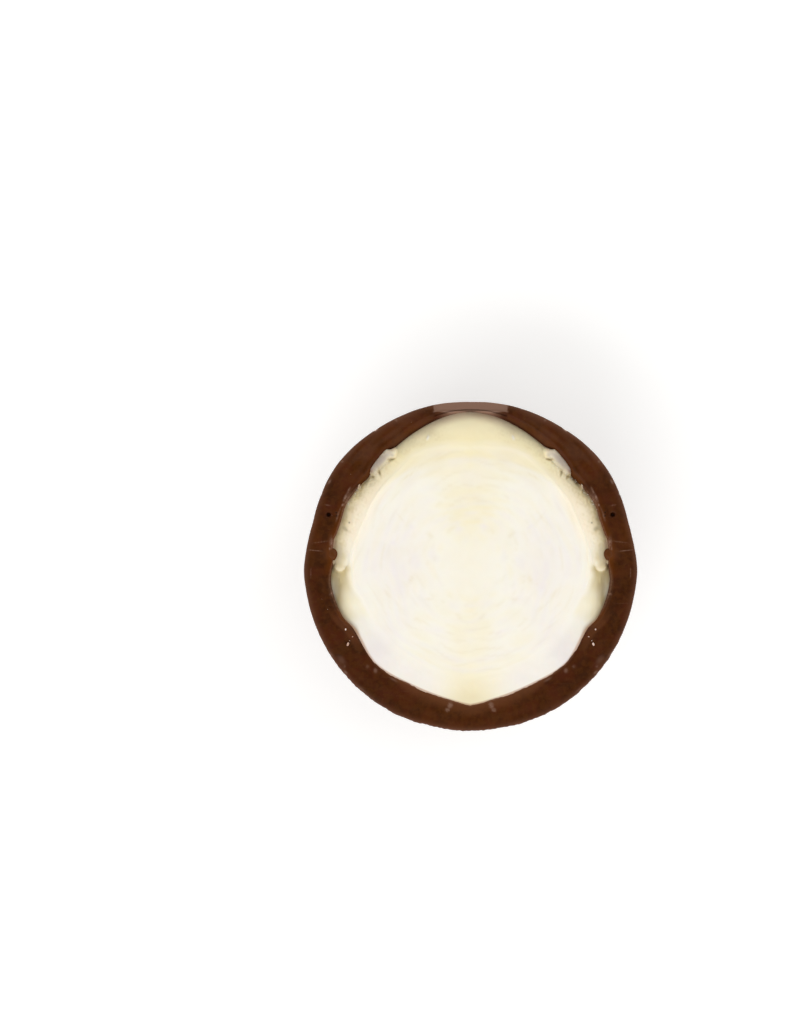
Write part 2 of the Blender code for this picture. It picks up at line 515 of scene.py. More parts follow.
@dataclass(frozen=True)
class Spot:
    """A soft oval on the cut face, on both sides of the mirror line, in millimetres."""

    side: float
    up: float
    long: float
    wide: float
    turn: float = 0.0  # degrees from outwards to upwards that the long way is turned
    amount: float = 1.0
    edge: float = 1.0  # 1 is soft, 3 or more has a flat middle and a firm edge

    def mask(self, places: Places) -> Array:
        """How much of the spot lies at each place, up to its amount.

        Args:
            places: Where it is read.

        Returns:
            Numbers from 0 to the amount.
        """
        cosine, sine = math.cos(math.radians(self.turn)), math.sin(math.radians(self.turn))
        out, up = places.side - self.side, places.y - self.up
        along, across = (out * cosine + up * sine) / self.long, (up * cosine - out * sine) / self.wide
        return self.amount * np.exp(-((along**2 + across**2) ** self.edge))


Spots = tuple[Spot, ...]


def ovals(*rows: tuple[float, ...]) -> Spots:
    """Makes spots out of their numbers, in the order of a spot's fields."""
    return tuple(Spot(*row) for row in rows)


def spots(places: Places, several: Spots) -> Array:
    """Adds up spots."""
    return sum((spot.mask(places) for spot in several), np.zeros(places.x.shape))


@dataclass(frozen=True)
class Ridge:
    """A rounded ridge along a line, on both sides of the mirror line, in millimetres."""

    path: tuple[tuple[float, float, float], ...]  # side, up and height of its crest
    half: float
    fall: float  # how far its crest stands over its edges
    square: float  # 2 is round, more has a flat crest and steep sides
    soft: float  # how close it comes to the slope before the corner between them is rounded

    def nearest(self, places: Places) -> list[tuple[Array, Array]]:
        """Finds how far off each stretch of the ridge is, and how high it is there.

        Args:
            places: Where it is read.

        Returns:
            Distances in half widths with heights in millimetres, by stretch.
        """
        found = []
        for (side, up, top), (end_side, end_up, end_top) in zip(self.path, self.path[1:]):
            run, rise = end_side - side, end_up - up
            out, over = places.side - side, places.y - up
            along = np.clip((out * run + over * rise) / (run**2 + rise**2), 0, 1)
            gap = np.hypot(out - along * run, over - along * rise) / self.half
            found.append((gap, top + along * (end_top - top)))
        return found

    def height(self, places: Places) -> Array:
        """Height of the ridge, falling away steeply outside its width."""
        return np.max([top - self.fall * gap**self.square for gap, top in self.nearest(places)], axis=0)

    def beside(self, places: Places) -> Array:
        """How much each place lies beside the ridge, with a firm edge."""
        return ease(np.min([gap for gap, top in self.nearest(places)], axis=0), 0.98, 1.12)


@dataclass(frozen=True)
class Outlines:
    """The outlines that the chocolate and the cream share, in millimetres."""

    radius: float = 14.0
    half_depth: float = 12.9
    foot_depth: float = 0.1
    wall_at_bottom: float = 2.5
    rim_drop: float = 0.18
    swell: ClockProfile = ClockProfile((
        (0, -0.14), (12, -0.05), (24, -0.02), (33, 0.01), (42, 0.1), (54, 0.14), (66, -0.05), (75, -0.18),
        (84, -0.08), (91, 0.06), (100, 0.02), (125, 0.0), (150, 0.0), (168, -0.12), (180, -0.14),
    ))
    wall: ClockProfile = ClockProfile((
        (0, 0.72), (6, 0.92), (12, 1.19), (20, 1.59), (32, 2.11), (44, 2.5), (48, 2.7), (51, 2.67),
        (58, 2.47), (64, 2.27), (70, 2.3), (76, 2.21), (79, 2.13), (82, 2.2), (88, 2.44), (92, 2.28),
        (97, 2.08), (104, 2.18), (112, 2.46), (118, 2.9), (123, 2.92), (134, 2.59), (139, 2.62),
        (151, 2.84), (160, 2.78), (170, 2.55), (180, 2.2),
    ))
    lip: ClockProfile = ClockProfile((
        (0, 0.12), (14, 0.55), (32, 0.75), (50, 0.6), (62, 0.3), (80, 0.15), (95, 0.2),
        (112, 0.4), (126, 0.55), (140, 0.35), (160, 0.4), (180, 0.5),
    ))
    wear: ClockProfile = ClockProfile((
        (0, 0.08), (12, 0.1), (22, 0.3), (38, 0.42), (52, 0.32), (64, 0.16), (90, 0.14),
        (120, 0.16), (150, 0.2), (180, 0.16),
    ))
    drop: ClockProfile = ClockProfile((
        (0, 0.9), (25, 0.85), (45, 0.75), (62, 0.5), (80, 0.34), (88, 0.5), (98, 0.78), (108, 0.65),
        (119, 0.2), (130, 0.07), (160, 0.07), (180, 0.16),
    ))
    lip_round: ClockProfile = ClockProfile((
        (0, 1.2), (20, 1.15), (32, 1.4), (42, 1.9), (60, 1.7), (75, 2.0), (95, 1.5), (112, 1.7), (130, 3.0),
        (155, 2.2), (180, 1.8),
    ))
    disc: ClockProfile = ClockProfile((
        (0, 10.2), (10, 10.45), (26, 10.6), (34, 10.25), (43, 10.05), (57, 9.98), (64, 9.87), (71, 9.9),
        (78, 10.0), (90, 10.1), (98, 10.0), (107, 9.5), (130, 9.2), (155, 9.1), (180, 9.2),
    ))
    stroke: ClockProfile = ClockProfile((
        (0, 8.95), (15, 9.2), (30, 9.48), (45, 9.65), (60, 9.78), (180, 9.78),
    ))

    @property
    def cut_height(self) -> float:
        """Height of the cut face over the floor."""
        return self.half_depth - self.foot_depth

    @property
    def bowl_depth(self) -> float:
        """Depth of the bowl below the cut face."""
        return self.half_depth - self.wall_at_bottom

    def outer(self, clock: Array) -> Array:
        """Radius of the shell's outer edge."""
        return self.radius + self.swell.at(clock)

    def cavity(self, clock: Array) -> Array:
        """Radius at which the cream meets the chocolate."""
        return self.outer(clock) - self.wall.at(clock)

    def lip_foot(self, clock: Array) -> Array:
        """How far below the cut face the lip meets the cream."""
        deeper = 0.03 + 0.1 * window(clock, 110, 118, 122, 132)
        return np.minimum(0.3 + 0.6 * self.lip.at(clock), self.drop.at(clock) + deeper)


def clock_ring(segments: int) -> tuple[Array, Array]:
    """Angles of the points in a ring, closest together along the torn and beaded sides.

    Args:
        segments: How many points it has.

    Returns:
        The angle round the ring in radians, and the clock angle in degrees.
    """
    fine = np.linspace(0, 360, 7201)
    crowd = 1 + 0.9 * window(np.minimum(fine, 360 - fine), 22, 32, 108, 118)
    reached = np.concatenate(((0,), np.cumsum((crowd[1:] + crowd[:-1]) / 2)))
    degrees = np.interp(np.linspace(0, reached[-1], segments, endpoint=False), reached, fine)
    return np.radians(degrees), np.minimum(degrees, 360 - degrees)


class GrainGroup:
    """The shader group for the fine grain and the broad mottling of a cut or moulded food."""

    def build(self) -> Tree:
        """Makes the group: fine and broad unevenness at sizes in millimetres.

        Returns:
            The group.
        """
        sheet, given, out = new_tree(
            "food_grain", Kind.SHADER, {"Fine": "Float", "Broad": "Float"},
            {"Height": "Float", "Mottle": "Float", "Speck": "Float"},
        )
        place = sheet.millimetres()
        fine = sheet.noise(place, 1.0 / given["Fine"], 4.0)
        broad = sheet.noise(place, 1.0 / given["Broad"], 3.0, 0.4)
        sheet.feed(
            out, Height=fine, Mottle=sheet.between(broad, 0.35, 0.65), Speck=sheet.between(fine, 0.62, 0.72)
        )
        return sheet.tree


class BloomGroup:
    """The shader group for scuffs and pale bloom on chocolate."""

    def build(self) -> Tree:
        """Makes the group: masks of bloom patches and of fine scratches.

        Returns:
            The group.
        """
        sheet, given, out = new_tree(
            "chocolate_bloom", Kind.SHADER, {"Patch": "Float", "Cover": "Float", "Scratch": "Float"},
            {"Bloom": "Float", "Scratches": "Float"},
        )
        place = sheet.millimetres()
        patches = sheet.noise(place, 1.0 / given["Patch"], 5.0, 0.6) + given["Cover"] - 0.5
        drawn_out = {"Vector": place, "Rotation": (0.4, 0.9, 0.6), "Scale": (0.12, 5.0, 0.12)}
        turned = sheet.value("ShaderNodeMapping", drawn_out)
        lines = sheet.noise(turned, 1.0 / given["Scratch"], 2.0, 0.2)
        sheet.feed(out, Bloom=sheet.between(patches, 0.05, 0.3), Scratches=sheet.between(lines, 0.68, 0.76))
        return sheet.tree


@dataclass(frozen=True)
class Groups:
    """The shader groups that the finishes share."""

    grain: Tree
    bloom: Tree


def principled(name: str, **values: object) -> tuple[Material, Sheet, Node]:
    """Makes a material with a Principled BSDF.

    Args:
        name: The material's name.
        values: Fixed values of the shader's inputs, by name with _ for a space.

    Returns:
        The material, its sheet and the shader.
    """
    material = bpy.data.materials.new(name)
    material.use_nodes = True
    sheet, shader = Sheet(material.node_tree), material.node_tree.nodes["Principled BSDF"]
    sheet.feed(shader, **values)
    return material, sheet, shader


@dataclass(frozen=True)
class CutChocolate:
    """Chocolate where the knife went through: matte, close-grained and slightly smeared."""

    dark: Colour = srgb(52, 23, 3)
    red: Colour = srgb(68, 28, 8)
    golden: Colour = srgb(73, 38, 9)
    tan: Colour = srgb(136, 106, 90)
    orange: Colour = srgb(96, 48, 4)
    grey: Colour = srgb(110, 80, 66)
    pit: Colour = srgb(34, 10, 3)

    def material(self, groups: Groups) -> Material:
        """Makes the material.

        Args:
            groups: The shader groups that it places.

        Returns:
            The material.
        """
        material, sheet, shader = principled("cut_chocolate", IOR=1.45, Specular_IOR_Level=0.08)
        grain = sheet.group(groups.grain, Fine=0.16, Broad=1.6)
        bloom = sheet.group(groups.bloom, Patch=2.2, Cover=0.42, Scratch=0.5)
        lumps = sheet.group(groups.grain, Fine=0.1, Broad=0.42)
        # The orange layer also paints bounce light, the grey layer the outer edge's highlight, the tan
        # scraped layer the chip strip's sheen and light on the lip below it, and the darkest layer shade in
        # pits and grooves.
        colour = sheet.layered(
            self.dark, (grain["Mottle"], self.red), (lumps["Mottle"] * 0.6, self.golden),
            (grain["Speck"] * 0.06, self.tan), (bloom["Scratches"] * 0.06, self.tan), ("glow", self.orange),
            ("bloom", self.grey), ("scraped", self.tan), ("pit", self.pit),
        )
        rough = sheet.between(grain["Height"], 0.3, 0.7, 0.36, 0.46)
        relief = sheet.relief(grain["Height"], 0.02, 0.5)
        sheet.feed(shader, Base_Color=colour, Roughness=rough, Normal=relief)
        return material


@dataclass(frozen=True)
class MouldedChocolate:
    """Chocolate as it left the mould: satin, with scuffs, pale bloom and faint scratches."""

    dark: Colour = srgb(44, 20, 6)
    red: Colour = srgb(50, 22, 7)
    bloom: Colour = srgb(104, 84, 72)

    def material(self, groups: Groups) -> Material:
        """Makes the material.

        Args:
            groups: The shader groups that it places.

        Returns:
            The material.
        """
        material, sheet, shader = principled("moulded_chocolate", IOR=1.46, Specular_IOR_Level=0.5)
        grain = sheet.group(groups.grain, Fine=0.3, Broad=4.0)
        bloom = sheet.group(groups.bloom, Patch=5.0, Cover=0.47, Scratch=0.9)
        # Near the rim, the last layer also paints the chip strip's sheen.
        colour = sheet.layered(
            self.dark, (grain["Mottle"], self.red), (bloom["Bloom"] * 0.16, self.bloom),
            (bloom["Scratches"] * 0.12, self.bloom), ("scraped", self.bloom),
        )
        rough = grain["Mottle"] * 0.06 + (bloom["Bloom"] * 0.22 + 0.27)
        height = grain["Height"] - bloom["Scratches"] * 0.3
        sheet.feed(shader, Base_Color=colour, Roughness=rough, Normal=sheet.relief(height, 0.012, 0.4))
        return material


@dataclass(frozen=True)
class Cream:
    """Dense ivory cream, smoothed by the knife and torn at its edge."""

    ivory: Colour = srgb(247, 243, 231)
    butter: Colour = srgb(244, 232, 190)
    lilac: Colour = srgb(241, 235, 233)
    peach: Colour = srgb(255, 241, 217)
    straw: Colour = srgb(212, 195, 148)
    shade: Colour = srgb(146, 138, 140)
    olive: Colour = srgb(142, 130, 98)
    smear: Colour = srgb(168, 136, 118)
    rust: Colour = srgb(176, 120, 76)
    pit: Colour = srgb(70, 45, 22)

    def material(self, groups: Groups) -> Material:
        """Makes the material.

        Args:
            groups: The shader groups that it places.

        Returns:
            The material.
        """
        material, sheet, shader = principled(
            "cream", IOR=1.42, Specular_IOR_Level=0.35, Subsurface_Weight=0.3,
            Subsurface_Radius=(1.0, 0.8, 0.6), Subsurface_Scale=0.5 * MM,
        )
        grain = sheet.group(groups.grain, Fine=0.25, Broad=1.8)
        # The peach layer also paints a highlight on the disc's crest; the straw, olive, smear and darkest
        # layers also paint shade by the wall, in the hollows, under the curl and in pits.
        colour = sheet.layered(
            self.ivory, ("butter", self.butter), ("lilac", self.lilac), ("peach", self.peach),
            ("straw", self.straw), (grain["Mottle"] * 0.04, self.straw), ("shade", self.shade),
            ("olive", self.olive), ("smear", self.smear), ("rust", self.rust), ("pit", self.pit),
        )
        rough = sheet.between(grain["Height"], 0.3, 0.7, 0.45, 0.6)
        relief = sheet.relief(grain["Height"], 0.02, 0.35)
        sheet.feed(shader, Base_Color=colour, Roughness=rough, Normal=relief)
        return material


@dataclass(frozen=True)
class PaleCrumb:
    """Crumbs of chocolate smeared with cream."""

    pale: Colour = srgb(230, 208, 196)
    brown: Colour = srgb(186, 146, 126)

    def material(self, groups: Groups) -> Material:
        """Makes the material.

        Args:
            groups: The shader groups that it places.

        Returns:
            The material.
        """
        material, sheet, shader = principled("pale_crumb", Roughness=0.55)
        grain = sheet.group(groups.grain, Fine=0.12, Broad=0.5)
        sheet.feed(shader, Base_Color=sheet.layered(self.pale, (grain["Mottle"], self.brown)))
        return material


class DomeTree:
    """The Geometry Nodes tree that turns the shell's dome down from its rim to its foot."""

    def build(self, segments: int) -> Tree:
        """Makes the tree.

        Args:
            segments: How many points the rim has.

        Returns:
            The tree.
        """
        lengths = ("Radius", "Half Depth", "Foot Depth", "Unevenness", "Lump Size", "Ragged Depth")
        inputs = {"Rim": "Geometry", "Rows": "Int", **dict.fromkeys(lengths, "Float"), "Material": "Material"}
        sheet, given, out = new_tree("turned_dome", Kind.GEOMETRY, inputs, {"Dome": "Geometry"})
        ball, half_depth, foot_depth = given["Radius"], given["Half Depth"], given["Foot Depth"]
        row_points = given["Rows"] + 1.0
        size = {"Size X": 1.0, "Size Y": 1.0, "Vertices X": segments + 1, "Vertices Y": row_points}
        grid = sheet.value("GeometryNodeMeshGrid", size, "Mesh")
        index = sheet.value("GeometryNodeInputIndex")
        column = sheet.math("FLOOR", (index + 0.5) / row_points)
        share = (index - column * row_points) / (given["Rows"] - 1.0)
        rim_index = sheet.math("MODULO", column, float(segments))

        def at_rim(kind: str, value: Value) -> Value:
            """Reads a value at the rim above a point."""
            inputs = {"Geometry": given["Rim"], "Value": value, "Index": rim_index}
            return sheet.value("GeometryNodeSampleIndex", inputs, data_type=kind, domain="POINT")

        parts = {0: at_rim("FLOAT_VECTOR", sheet.value("GeometryNodeInputPosition"))}
        rim_x, rim_y, rim_z = (sheet.value("ShaderNodeSeparateXYZ", parts, axis) for axis in range(3))
        ragged = at_rim("FLOAT", sheet.carried("ragged"))
        rim_radius = sheet.math("SQRT", rim_x * rim_x + rim_y * rim_y)
        flat_x, flat_y = rim_x / rim_radius, rim_y / rim_radius
        top, foot = (
            sheet.math("ARCCOSINE", 1.0 - depth)
            for depth in ((rim_z + foot_depth) / half_depth, foot_depth / half_depth)
        )
        polar = share * (foot - top) + top
        sine = sheet.math("SINE", polar) / sheet.math("SINE", top)
        smooth_radius = (rim_radius - ragged - ball) * sheet.math("POWER", sine, 3.0) + ball * sine
        height = half_depth * (1.0 - sheet.math("COSINE", polar)) - foot_depth
        smooth = sheet.vector(flat_x * smooth_radius, flat_y * smooth_radius, height)
        lumps = sheet.noise(smooth, 1.0 / given["Lump Size"], 1.0) - 0.5
        push = lumps * given["Unevenness"] * sheet.math("SINE", share * math.pi)
        deep = (rim_z - height) / given["Ragged Depth"]
        kept = sheet.math("EXPONENT", deep * deep * -1.0)
        inside = sheet.math("LESS_THAN", share, 1.0001)
        radius = (ragged * kept + smooth_radius + push) * inside
        place = sheet.vector(flat_x * radius, flat_y * radius, height * inside)
        moved = sheet.value("GeometryNodeSetPosition", {"Geometry": grid, "Position": place})
        closed = sheet.value("GeometryNodeMergeByDistance", {"Geometry": moved, "Distance": 0.001 * MM})
        return sheet.finished(out, closed, given["Material"])


class CrumbTree:
    """The Geometry Nodes tree that puts a crumb on each point, turned and sized at random."""

    def build(self) -> Tree:
        """Makes the tree.

        Returns:
            The tree.
        """
        inputs = {
            "Points": "Geometry", "Flatness": "Float", "Roughness": "Float", "Seed": "Int",
            "Material": "Material",
        }
        sheet, given, out = new_tree("crumbs", Kind.GEOMETRY, inputs, {"Crumbs": "Geometry"})
        ball = sheet.value("GeometryNodeMeshIcoSphere", {"Radius": 1.0, "Subdivisions": 3}, "Mesh")
        position = sheet.value("GeometryNodeInputPosition")
        lump = (sheet.noise(position, 1.3, 2.0) - 0.5) * given["Roughness"]
        push = sheet.value("ShaderNodeVectorMath", {0: position, "Scale": lump}, operation="SCALE")
        crumb = sheet.value("GeometryNodeSetPosition", {"Geometry": ball, "Offset": push})
        size, seed = sheet.carried("size"), given["Seed"]
        turn = sheet.vector(sheet.random(-0.4, 0.4, seed), 0.0, sheet.carried("way"))
        scale = sheet.vector(size * sheet.random(1.2, 1.9, seed + 1.0), size, size * given["Flatness"])
        inputs = {"Points": given["Points"], "Instance": crumb, "Rotation": turn, "Scale": scale}
        return sheet.finished(out, sheet.value("GeometryNodeInstanceOnPoints", inputs), given["Material"])


@dataclass
class Shell:
    """The chocolate shell: its dome, its worn rim, its cut face and the bowl that holds the cream."""

    outlines: Outlines
    segments: int = 960
    dome_rows: int = 46
    wear_rows: int = 5
    face_rows: int = 32
    lip_rows: int = 10
    bowl_rows: int = 6
    chip_side: float = 3.1
    chip_depth: float = 0.15
    unevenness: float = 0.22
    lump_size: float = 7.0
    ragged_depth: float = 0.5
    rim_unevenness: float = 0.006
    rim_raggedness: float = 0.02
    wear_unevenness: float = 0.2
    nick_depth: float = 0.07
    nick_bite: float = 0.03
    seam_up: float = 1.2
    seam_height: float = 0.035
    seam_half: float = 0.14
    crease_depth: float = 0.14
    crease_half: float = 0.13
    crease_lip: float = 0.07
    crease: tuple[tuple[float, float, float], ...] = ((-10.6, 4.6, 5.6), (-9.6, 4.7, 3.6))
    pinholes: Spots = ovals(
        (11.97, 4.35, 0.2, 0.19, 0, 0.3, 2), (11.33, 4.53, 0.07, 0.07, 0, 0.12, 2),
        (11.31, 4.25, 0.07, 0.06, 0, 0.12, 2), (12.21, 7.12, 0.06, 0.06, 0, 0.06, 2),
    )
    dents: Spots = ovals((8.12, -9.66, 0.32, 0.13, 5, 0.05), (10.80, -6.67, 0.3, 0.12, 70, 0.04))
    nicks: Spots = ovals(
        (6.29, 12.33, 0.12, 0.09, 60, 0.8, 1.5), (7.98, 11.51, 0.24, 0.1, -35, 1.0, 1.5),
        (10.84, 8.83, 0.12, 0.09, 0, 0.8, 1.5), (11.91, 7.12, 0.2, 0.1, -60, 0.9, 1.5),
        (12.59, 6.08, 0.12, 0.08, 0, 0.8, 1.5), (10.54, -8.95, 0.18, 0.1, 40, 0.9, 1.5),
        (11.78, -7.42, 0.3, 0.1, 50, 0.5), (9.15, -10.38, 0.4, 0.08, 40, 0.4),
    )
    scrapes: Spots = ovals(
        (10.27, 6.4, 0.3, 0.08, -64, 0.45, 1.5), (10.58, 5.8, 0.34, 0.09, -66, 0.65, 1.5),
        (10.38, 5.68, 0.5, 0.17, -64, 0.34), (10.79, 5.18, 0.12, 0.07, -60, 0.8, 1.5),
        (10.98, 4.85, 0.2, 0.05, -70, 0.25, 1.5), (11.2, 4.25, 0.45, 0.08, -74, 0.36, 1.5),
        (11.74, 2.0, 0.13, 0.4, 0, 0.62), (12.03, 5.15, 0.2, 0.045, 10, 0.35),
        (1.73, -11.7, 0.26, 0.2, -70, 0.5, 2), (1.95, -12.1, 0.19, 0.16, -20, 0.45, 2),
        (8.69, -8.44, 0.12, 0.12, 0, 0.3), (11.73, -2.31, 0.14, 0.09, -30, 0.6),
        (11.88, 1.48, 0.06, 0.13, 0, 0.5, 1.5), (10.63, -8.44, 0.1, 0.1, 0, 0.3),
    )
    ridges: Spots = ovals(
        (1.82, -11.90, 0.4, 0.16, -60, 0.07, 2), (10.27, 6.4, 0.3, 0.08, -64, 0.04, 1.5),
        (10.58, 5.8, 0.34, 0.09, -66, 0.04, 1.5),
    )
    seam: Spots = ovals(
        (13.12, 1.33, 0.55, 0.04, 5, 0.45, 2), (12.55, 2.06, 0.75, 0.045, -7, 0.2, 2),
        (13.47, -0.57, 0.05, 0.45, 0, 0.25, 2),
    )
    smears: Spots = ovals(
        (10.9, -7.87, 0.45, 0.24, 50, 0.34, 1.5), (8.02, -8.78, 0.15, 0.2, 0, 0.85, 1.5),
        (6.5, -9.54, 0.35, 0.1, 30, 0.55, 1.5), (12.1, 1.0, 0.5, 0.5, 0, 0.1),
    )
    warm_spots: Spots = ovals((11.85, 1.0, 0.5, 0.6, 0, 0.5), (13.2, 2.6, 0.7, 1.6, 0, 0.25))
    # A painted shadow line in the groove under the chip's strip.
    grooves: Spots = ovals((0, 13.14, 2.3, 0.06, 0, 0.7))

    def rim_relief(self, places: Places) -> Array:
        """Height of the cut chocolate over the cut plane, without its rounded edges.

        Args:
            places: Where it is read.

        Returns:
            Heights in millimetres.
        """
        height = 0.018 * Ripple(3, 2.6).at(places.x, places.y) + 0.007 * Ripple(4, 0.7).at(places.x, places.y)
        height += 0.004 * Ripple(5, 0.28, 14).at(places.x, places.y)
        height -= spots(places, self.pinholes + self.dents)
        height += spots(places, self.ridges) + 0.05 * spots(places, self.seam)
        chipped = ease(places.side, self.chip_side + 0.05, self.chip_side - 0.05) * (places.y > 0)
        return height - self.chip_depth * chipped

    def ring_mesh(self) -> tuple[Mesh, Array]:
        """Makes the worn rim, the cut face, the lip and the bowl.

        Returns:
            The mesh, open at the rim, and the rim's points in millimetres.
        """
        turn, clock = clock_ring(self.segments)
        shape = self.outlines
        around = (shape.radius * np.sin(turn), shape.radius * np.cos(turn))
        ragged = self.rim_raggedness * ease(clock, 105, 130)
        edge = self.rim_unevenness * Ripple(8, 1.6).at(*around)
        edge += ragged * (Ripple(9, 1.1).at(*around) + Ripple(11, 0.4).at(*around))
        outer = shape.outer(clock) + edge
        wear = shape.wear.at(clock) * (1 + self.wear_unevenness * Ripple(10, 1.2).at(*around))
        cavity, lip_foot = shape.cavity(clock), shape.lip_foot(clock)
        lip_top = cavity + shape.lip.at(clock)
        worn = np.arange(self.wear_rows)[:, None] * math.pi / 2 / self.wear_rows
        face = np.linspace(0, 1, self.face_rows)[:, None]
        lip = np.arange(1, self.lip_rows + 1)[:, None] / self.lip_rows
        foot_polar = np.arccos(lip_foot / shape.bowl_depth)
        bowl = foot_polar * (1 - np.arange(1, self.bowl_rows + 1)[:, None] / (self.bowl_rows + 1))
        radius = np.concatenate((
            outer - wear * (1 - np.cos(worn)), (outer - wear) * (1 - face) + lip_top * face,
            lip_top * (1 - lip) + cavity * lip, cavity * np.sin(bowl) / np.sin(foot_polar),
        ))
        height = np.concatenate((
            -shape.rim_drop * (1 - np.sin(worn)) + 0 * clock, 0 * face * clock,
            -lip_foot * lip ** shape.lip_round.at(clock), -shape.bowl_depth * np.cos(bowl),
        ))
        places = Places(radius * np.sin(turn), radius * np.cos(turn))
        relief_rows = self.wear_rows + self.face_rows + 4
        height[:relief_rows] += self.rim_relief(places)[:relief_rows]
        nicked = spots(places, self.nicks)
        height -= self.nick_depth * nicked
        radius = radius - self.nick_bite * nicked
        rows = np.stack((radius * np.sin(turn), radius * np.cos(turn), shape.cut_height + height), axis=-1)
        mesh = rows_mesh("ring", rows, None, (0.0, 0.0, shape.cut_height - shape.bowl_depth))
        mesh.polygons.foreach_set("material_index", np.ones(len(mesh.polygons), np.int32))
        return mesh, rows[0]

    def dome_mesh(self, rim: Array, finish: Material) -> Mesh:
        """Turns the dome down from the rim.

        Args:
            rim: The rim's points in millimetres.
            finish: The dome's material.

        Returns:
            The dome's mesh, open at the rim.
        """
        shape, base = self.outlines, plain_mesh("rim", rim, [])
        smooth = shape.outer(clock_ring(self.segments)[1])
        carry(base, ragged=(np.hypot(rim[:, 0], rim[:, 1]) - smooth) * MM)
        lengths = {
            "Radius": shape.radius, "Half Depth": shape.half_depth, "Foot Depth": shape.foot_depth,
            "Unevenness": self.unevenness, "Lump Size": self.lump_size, "Ragged Depth": self.ragged_depth,
        }
        values = {name: length * MM for name, length in lengths.items()}
        values |= {"Rows": self.dome_rows, "Material": finish}
        return grown(DomeTree().build(self.segments), base, values)

    def mark_dome(self, mesh: Mesh) -> None:
        """Raises the mould's seam over the dome and presses in a short crease.

        Args:
            mesh: The dome's mesh.
        """
        points = points_of(mesh)
        x, y, z = points.T
        middle = np.array((0.0, 0.0, self.outlines.cut_height))
        outward = points - middle
        outward /= np.linalg.norm(outward, axis=1)[:, None]
        below = ease(middle[2] - z, 0.3, 0.9) * ease(np.hypot(x, y), 2.6, 3.6)
        broken = np.clip(0.6 + 0.6 * Ripple(37, 2.4).at(x, y, z), 0, 1)
        wander = 0.05 * Ripple(38, 6.0).at(x, y, z)
        push = self.seam_height * below * broken * bell(y, self.seam_up + wander, self.seam_half)
        start, end = (np.array(tip) for tip in self.crease)
        run = end - start
        along = np.clip((points - start) @ run / (run @ run), 0, 1)
        off = points - start - along[:, None] * run
        gap = off @ np.cross(run / np.linalg.norm(run), (start - middle) / np.linalg.norm(start - middle))
        near = np.exp(-((np.linalg.norm(off, axis=1) / 1.2) ** 4)) * np.sin(math.pi * (0.1 + 0.8 * along))
        lip, groove = bell(gap, 0.3, 0.2), bell(gap, 0.0, self.crease_half)
        push += near * (self.crease_lip * lip - self.crease_depth * groove)
        move_points(mesh, points + outward * push[:, None])

    def build(self, cut: Material, moulded: Material) -> Object:
        """Builds the shell.

        Args:
            cut: The material of the cut face.
            moulded: The material of the dome.

        Returns:
            The shell's piece.
        """
        ring, rim = self.ring_mesh()
        dome = self.dome_mesh(rim, moulded)
        self.mark_dome(dome)
        mesh = joined("chocolate_shell", dome, ring)
        mesh.materials.append(moulded)
        mesh.materials.append(cut)
        self.tint(mesh)
        return piece("chocolate_shell", mesh, "shell")

    def tint(self, mesh: Mesh) -> None:
        """Marks the chocolate's scrapes, bloom and warm tones, and its painted light and painted shade.

        Args:
            mesh: The shell's mesh.
        """
        shape, points = self.outlines, points_of(mesh)
        places, height = Places(points[:, 0], points[:, 1]), points[:, 2] - shape.cut_height
        clock, radius, side = places.clock, places.radius, places.side
        gap, past_rim = radius - shape.cavity(clock), radius - shape.outer(clock)
        on_top = np.maximum(ease(height, -0.45, -0.2), ease(past_rim, -0.3, -0.4)) * ease(height, -1.6, -1.2)
        nick = window(clock, 45.2, 46.4, 52.5, 54.5)
        # The torn notch's wall is painted warm, as light shows through it, and painted darker where shade
        # falls in it.
        torn_wall = ease(gap, 0.44, 0.2) * nick
        # The low lip is painted lighter and warmer: painted light where it faces the cream.
        low_lip = ease(gap, 0.3 + 0.95 * ease(clock, 142, 158), 0.1) * ease(clock, 136, 148)
        side_lip = ease(gap, 0.8, 0.15) * window(clock, 58, 66, 90, 96)
        knee = window(gap, 0.1, 0.4, 0.7, 1.0) * window(clock, 106, 114, 121, 130)
        # The rounded outer edge is painted lighter: a painted highlight.
        edge = np.clip(1 + past_rim / 0.6, 0, 1) ** 2
        film_reach = 0.22 - 0.1 * window(clock, 84, 92, 112, 118)
        film = 0.2 * ease(gap / film_reach, 1.0, 0.0) * ease(clock, 34, 38)
        film += 0.1 * ease(gap, 0.2, 0.02) * ease(clock, 24, 30)
        film = film * (1 - window(clock, 45.5, 46.5, 52.5, 54))

        uneven = np.clip(1 + 0.4 * Ripple(35, 0.17).at(places.x, places.y), 0.3, 1.5)
        scraped = uneven * (spots(places, self.scrapes + self.seam) + film)
        # The chip's flat strip is painted lighter, partly its scraped colour and partly a painted reflection
        # on its flat; the lip below it is painted lighter against its shade.
        chip = ease(side, self.chip_side + 0.06, self.chip_side - 0.06) * (places.y > 0)
        strip = 0.8 * ease(radius - 0.3 * ease(side, 1.6, 3.0), 12.98, 13.12)
        scraped += chip * (strip + 0.75 * ease(height, -0.2, -0.3) * ease(side, 3.0, 1.2))
        scraped += 0.6 * spots(places, self.nicks) + 0.1 * low_lip + 0.06 * knee

        drawn = 1 + np.clip(Ripple(36, 0.55, 14).at(radius, clock * 0.05), -1, 1)
        # Bloom patches and drawn streaks, and the outer edge's painted highlight.
        bloom = spots(places, self.smears) + 0.45 * edge
        bloom += (0.015 + 0.06 * window(clock, 14, 26, 44, 60)) * drawn

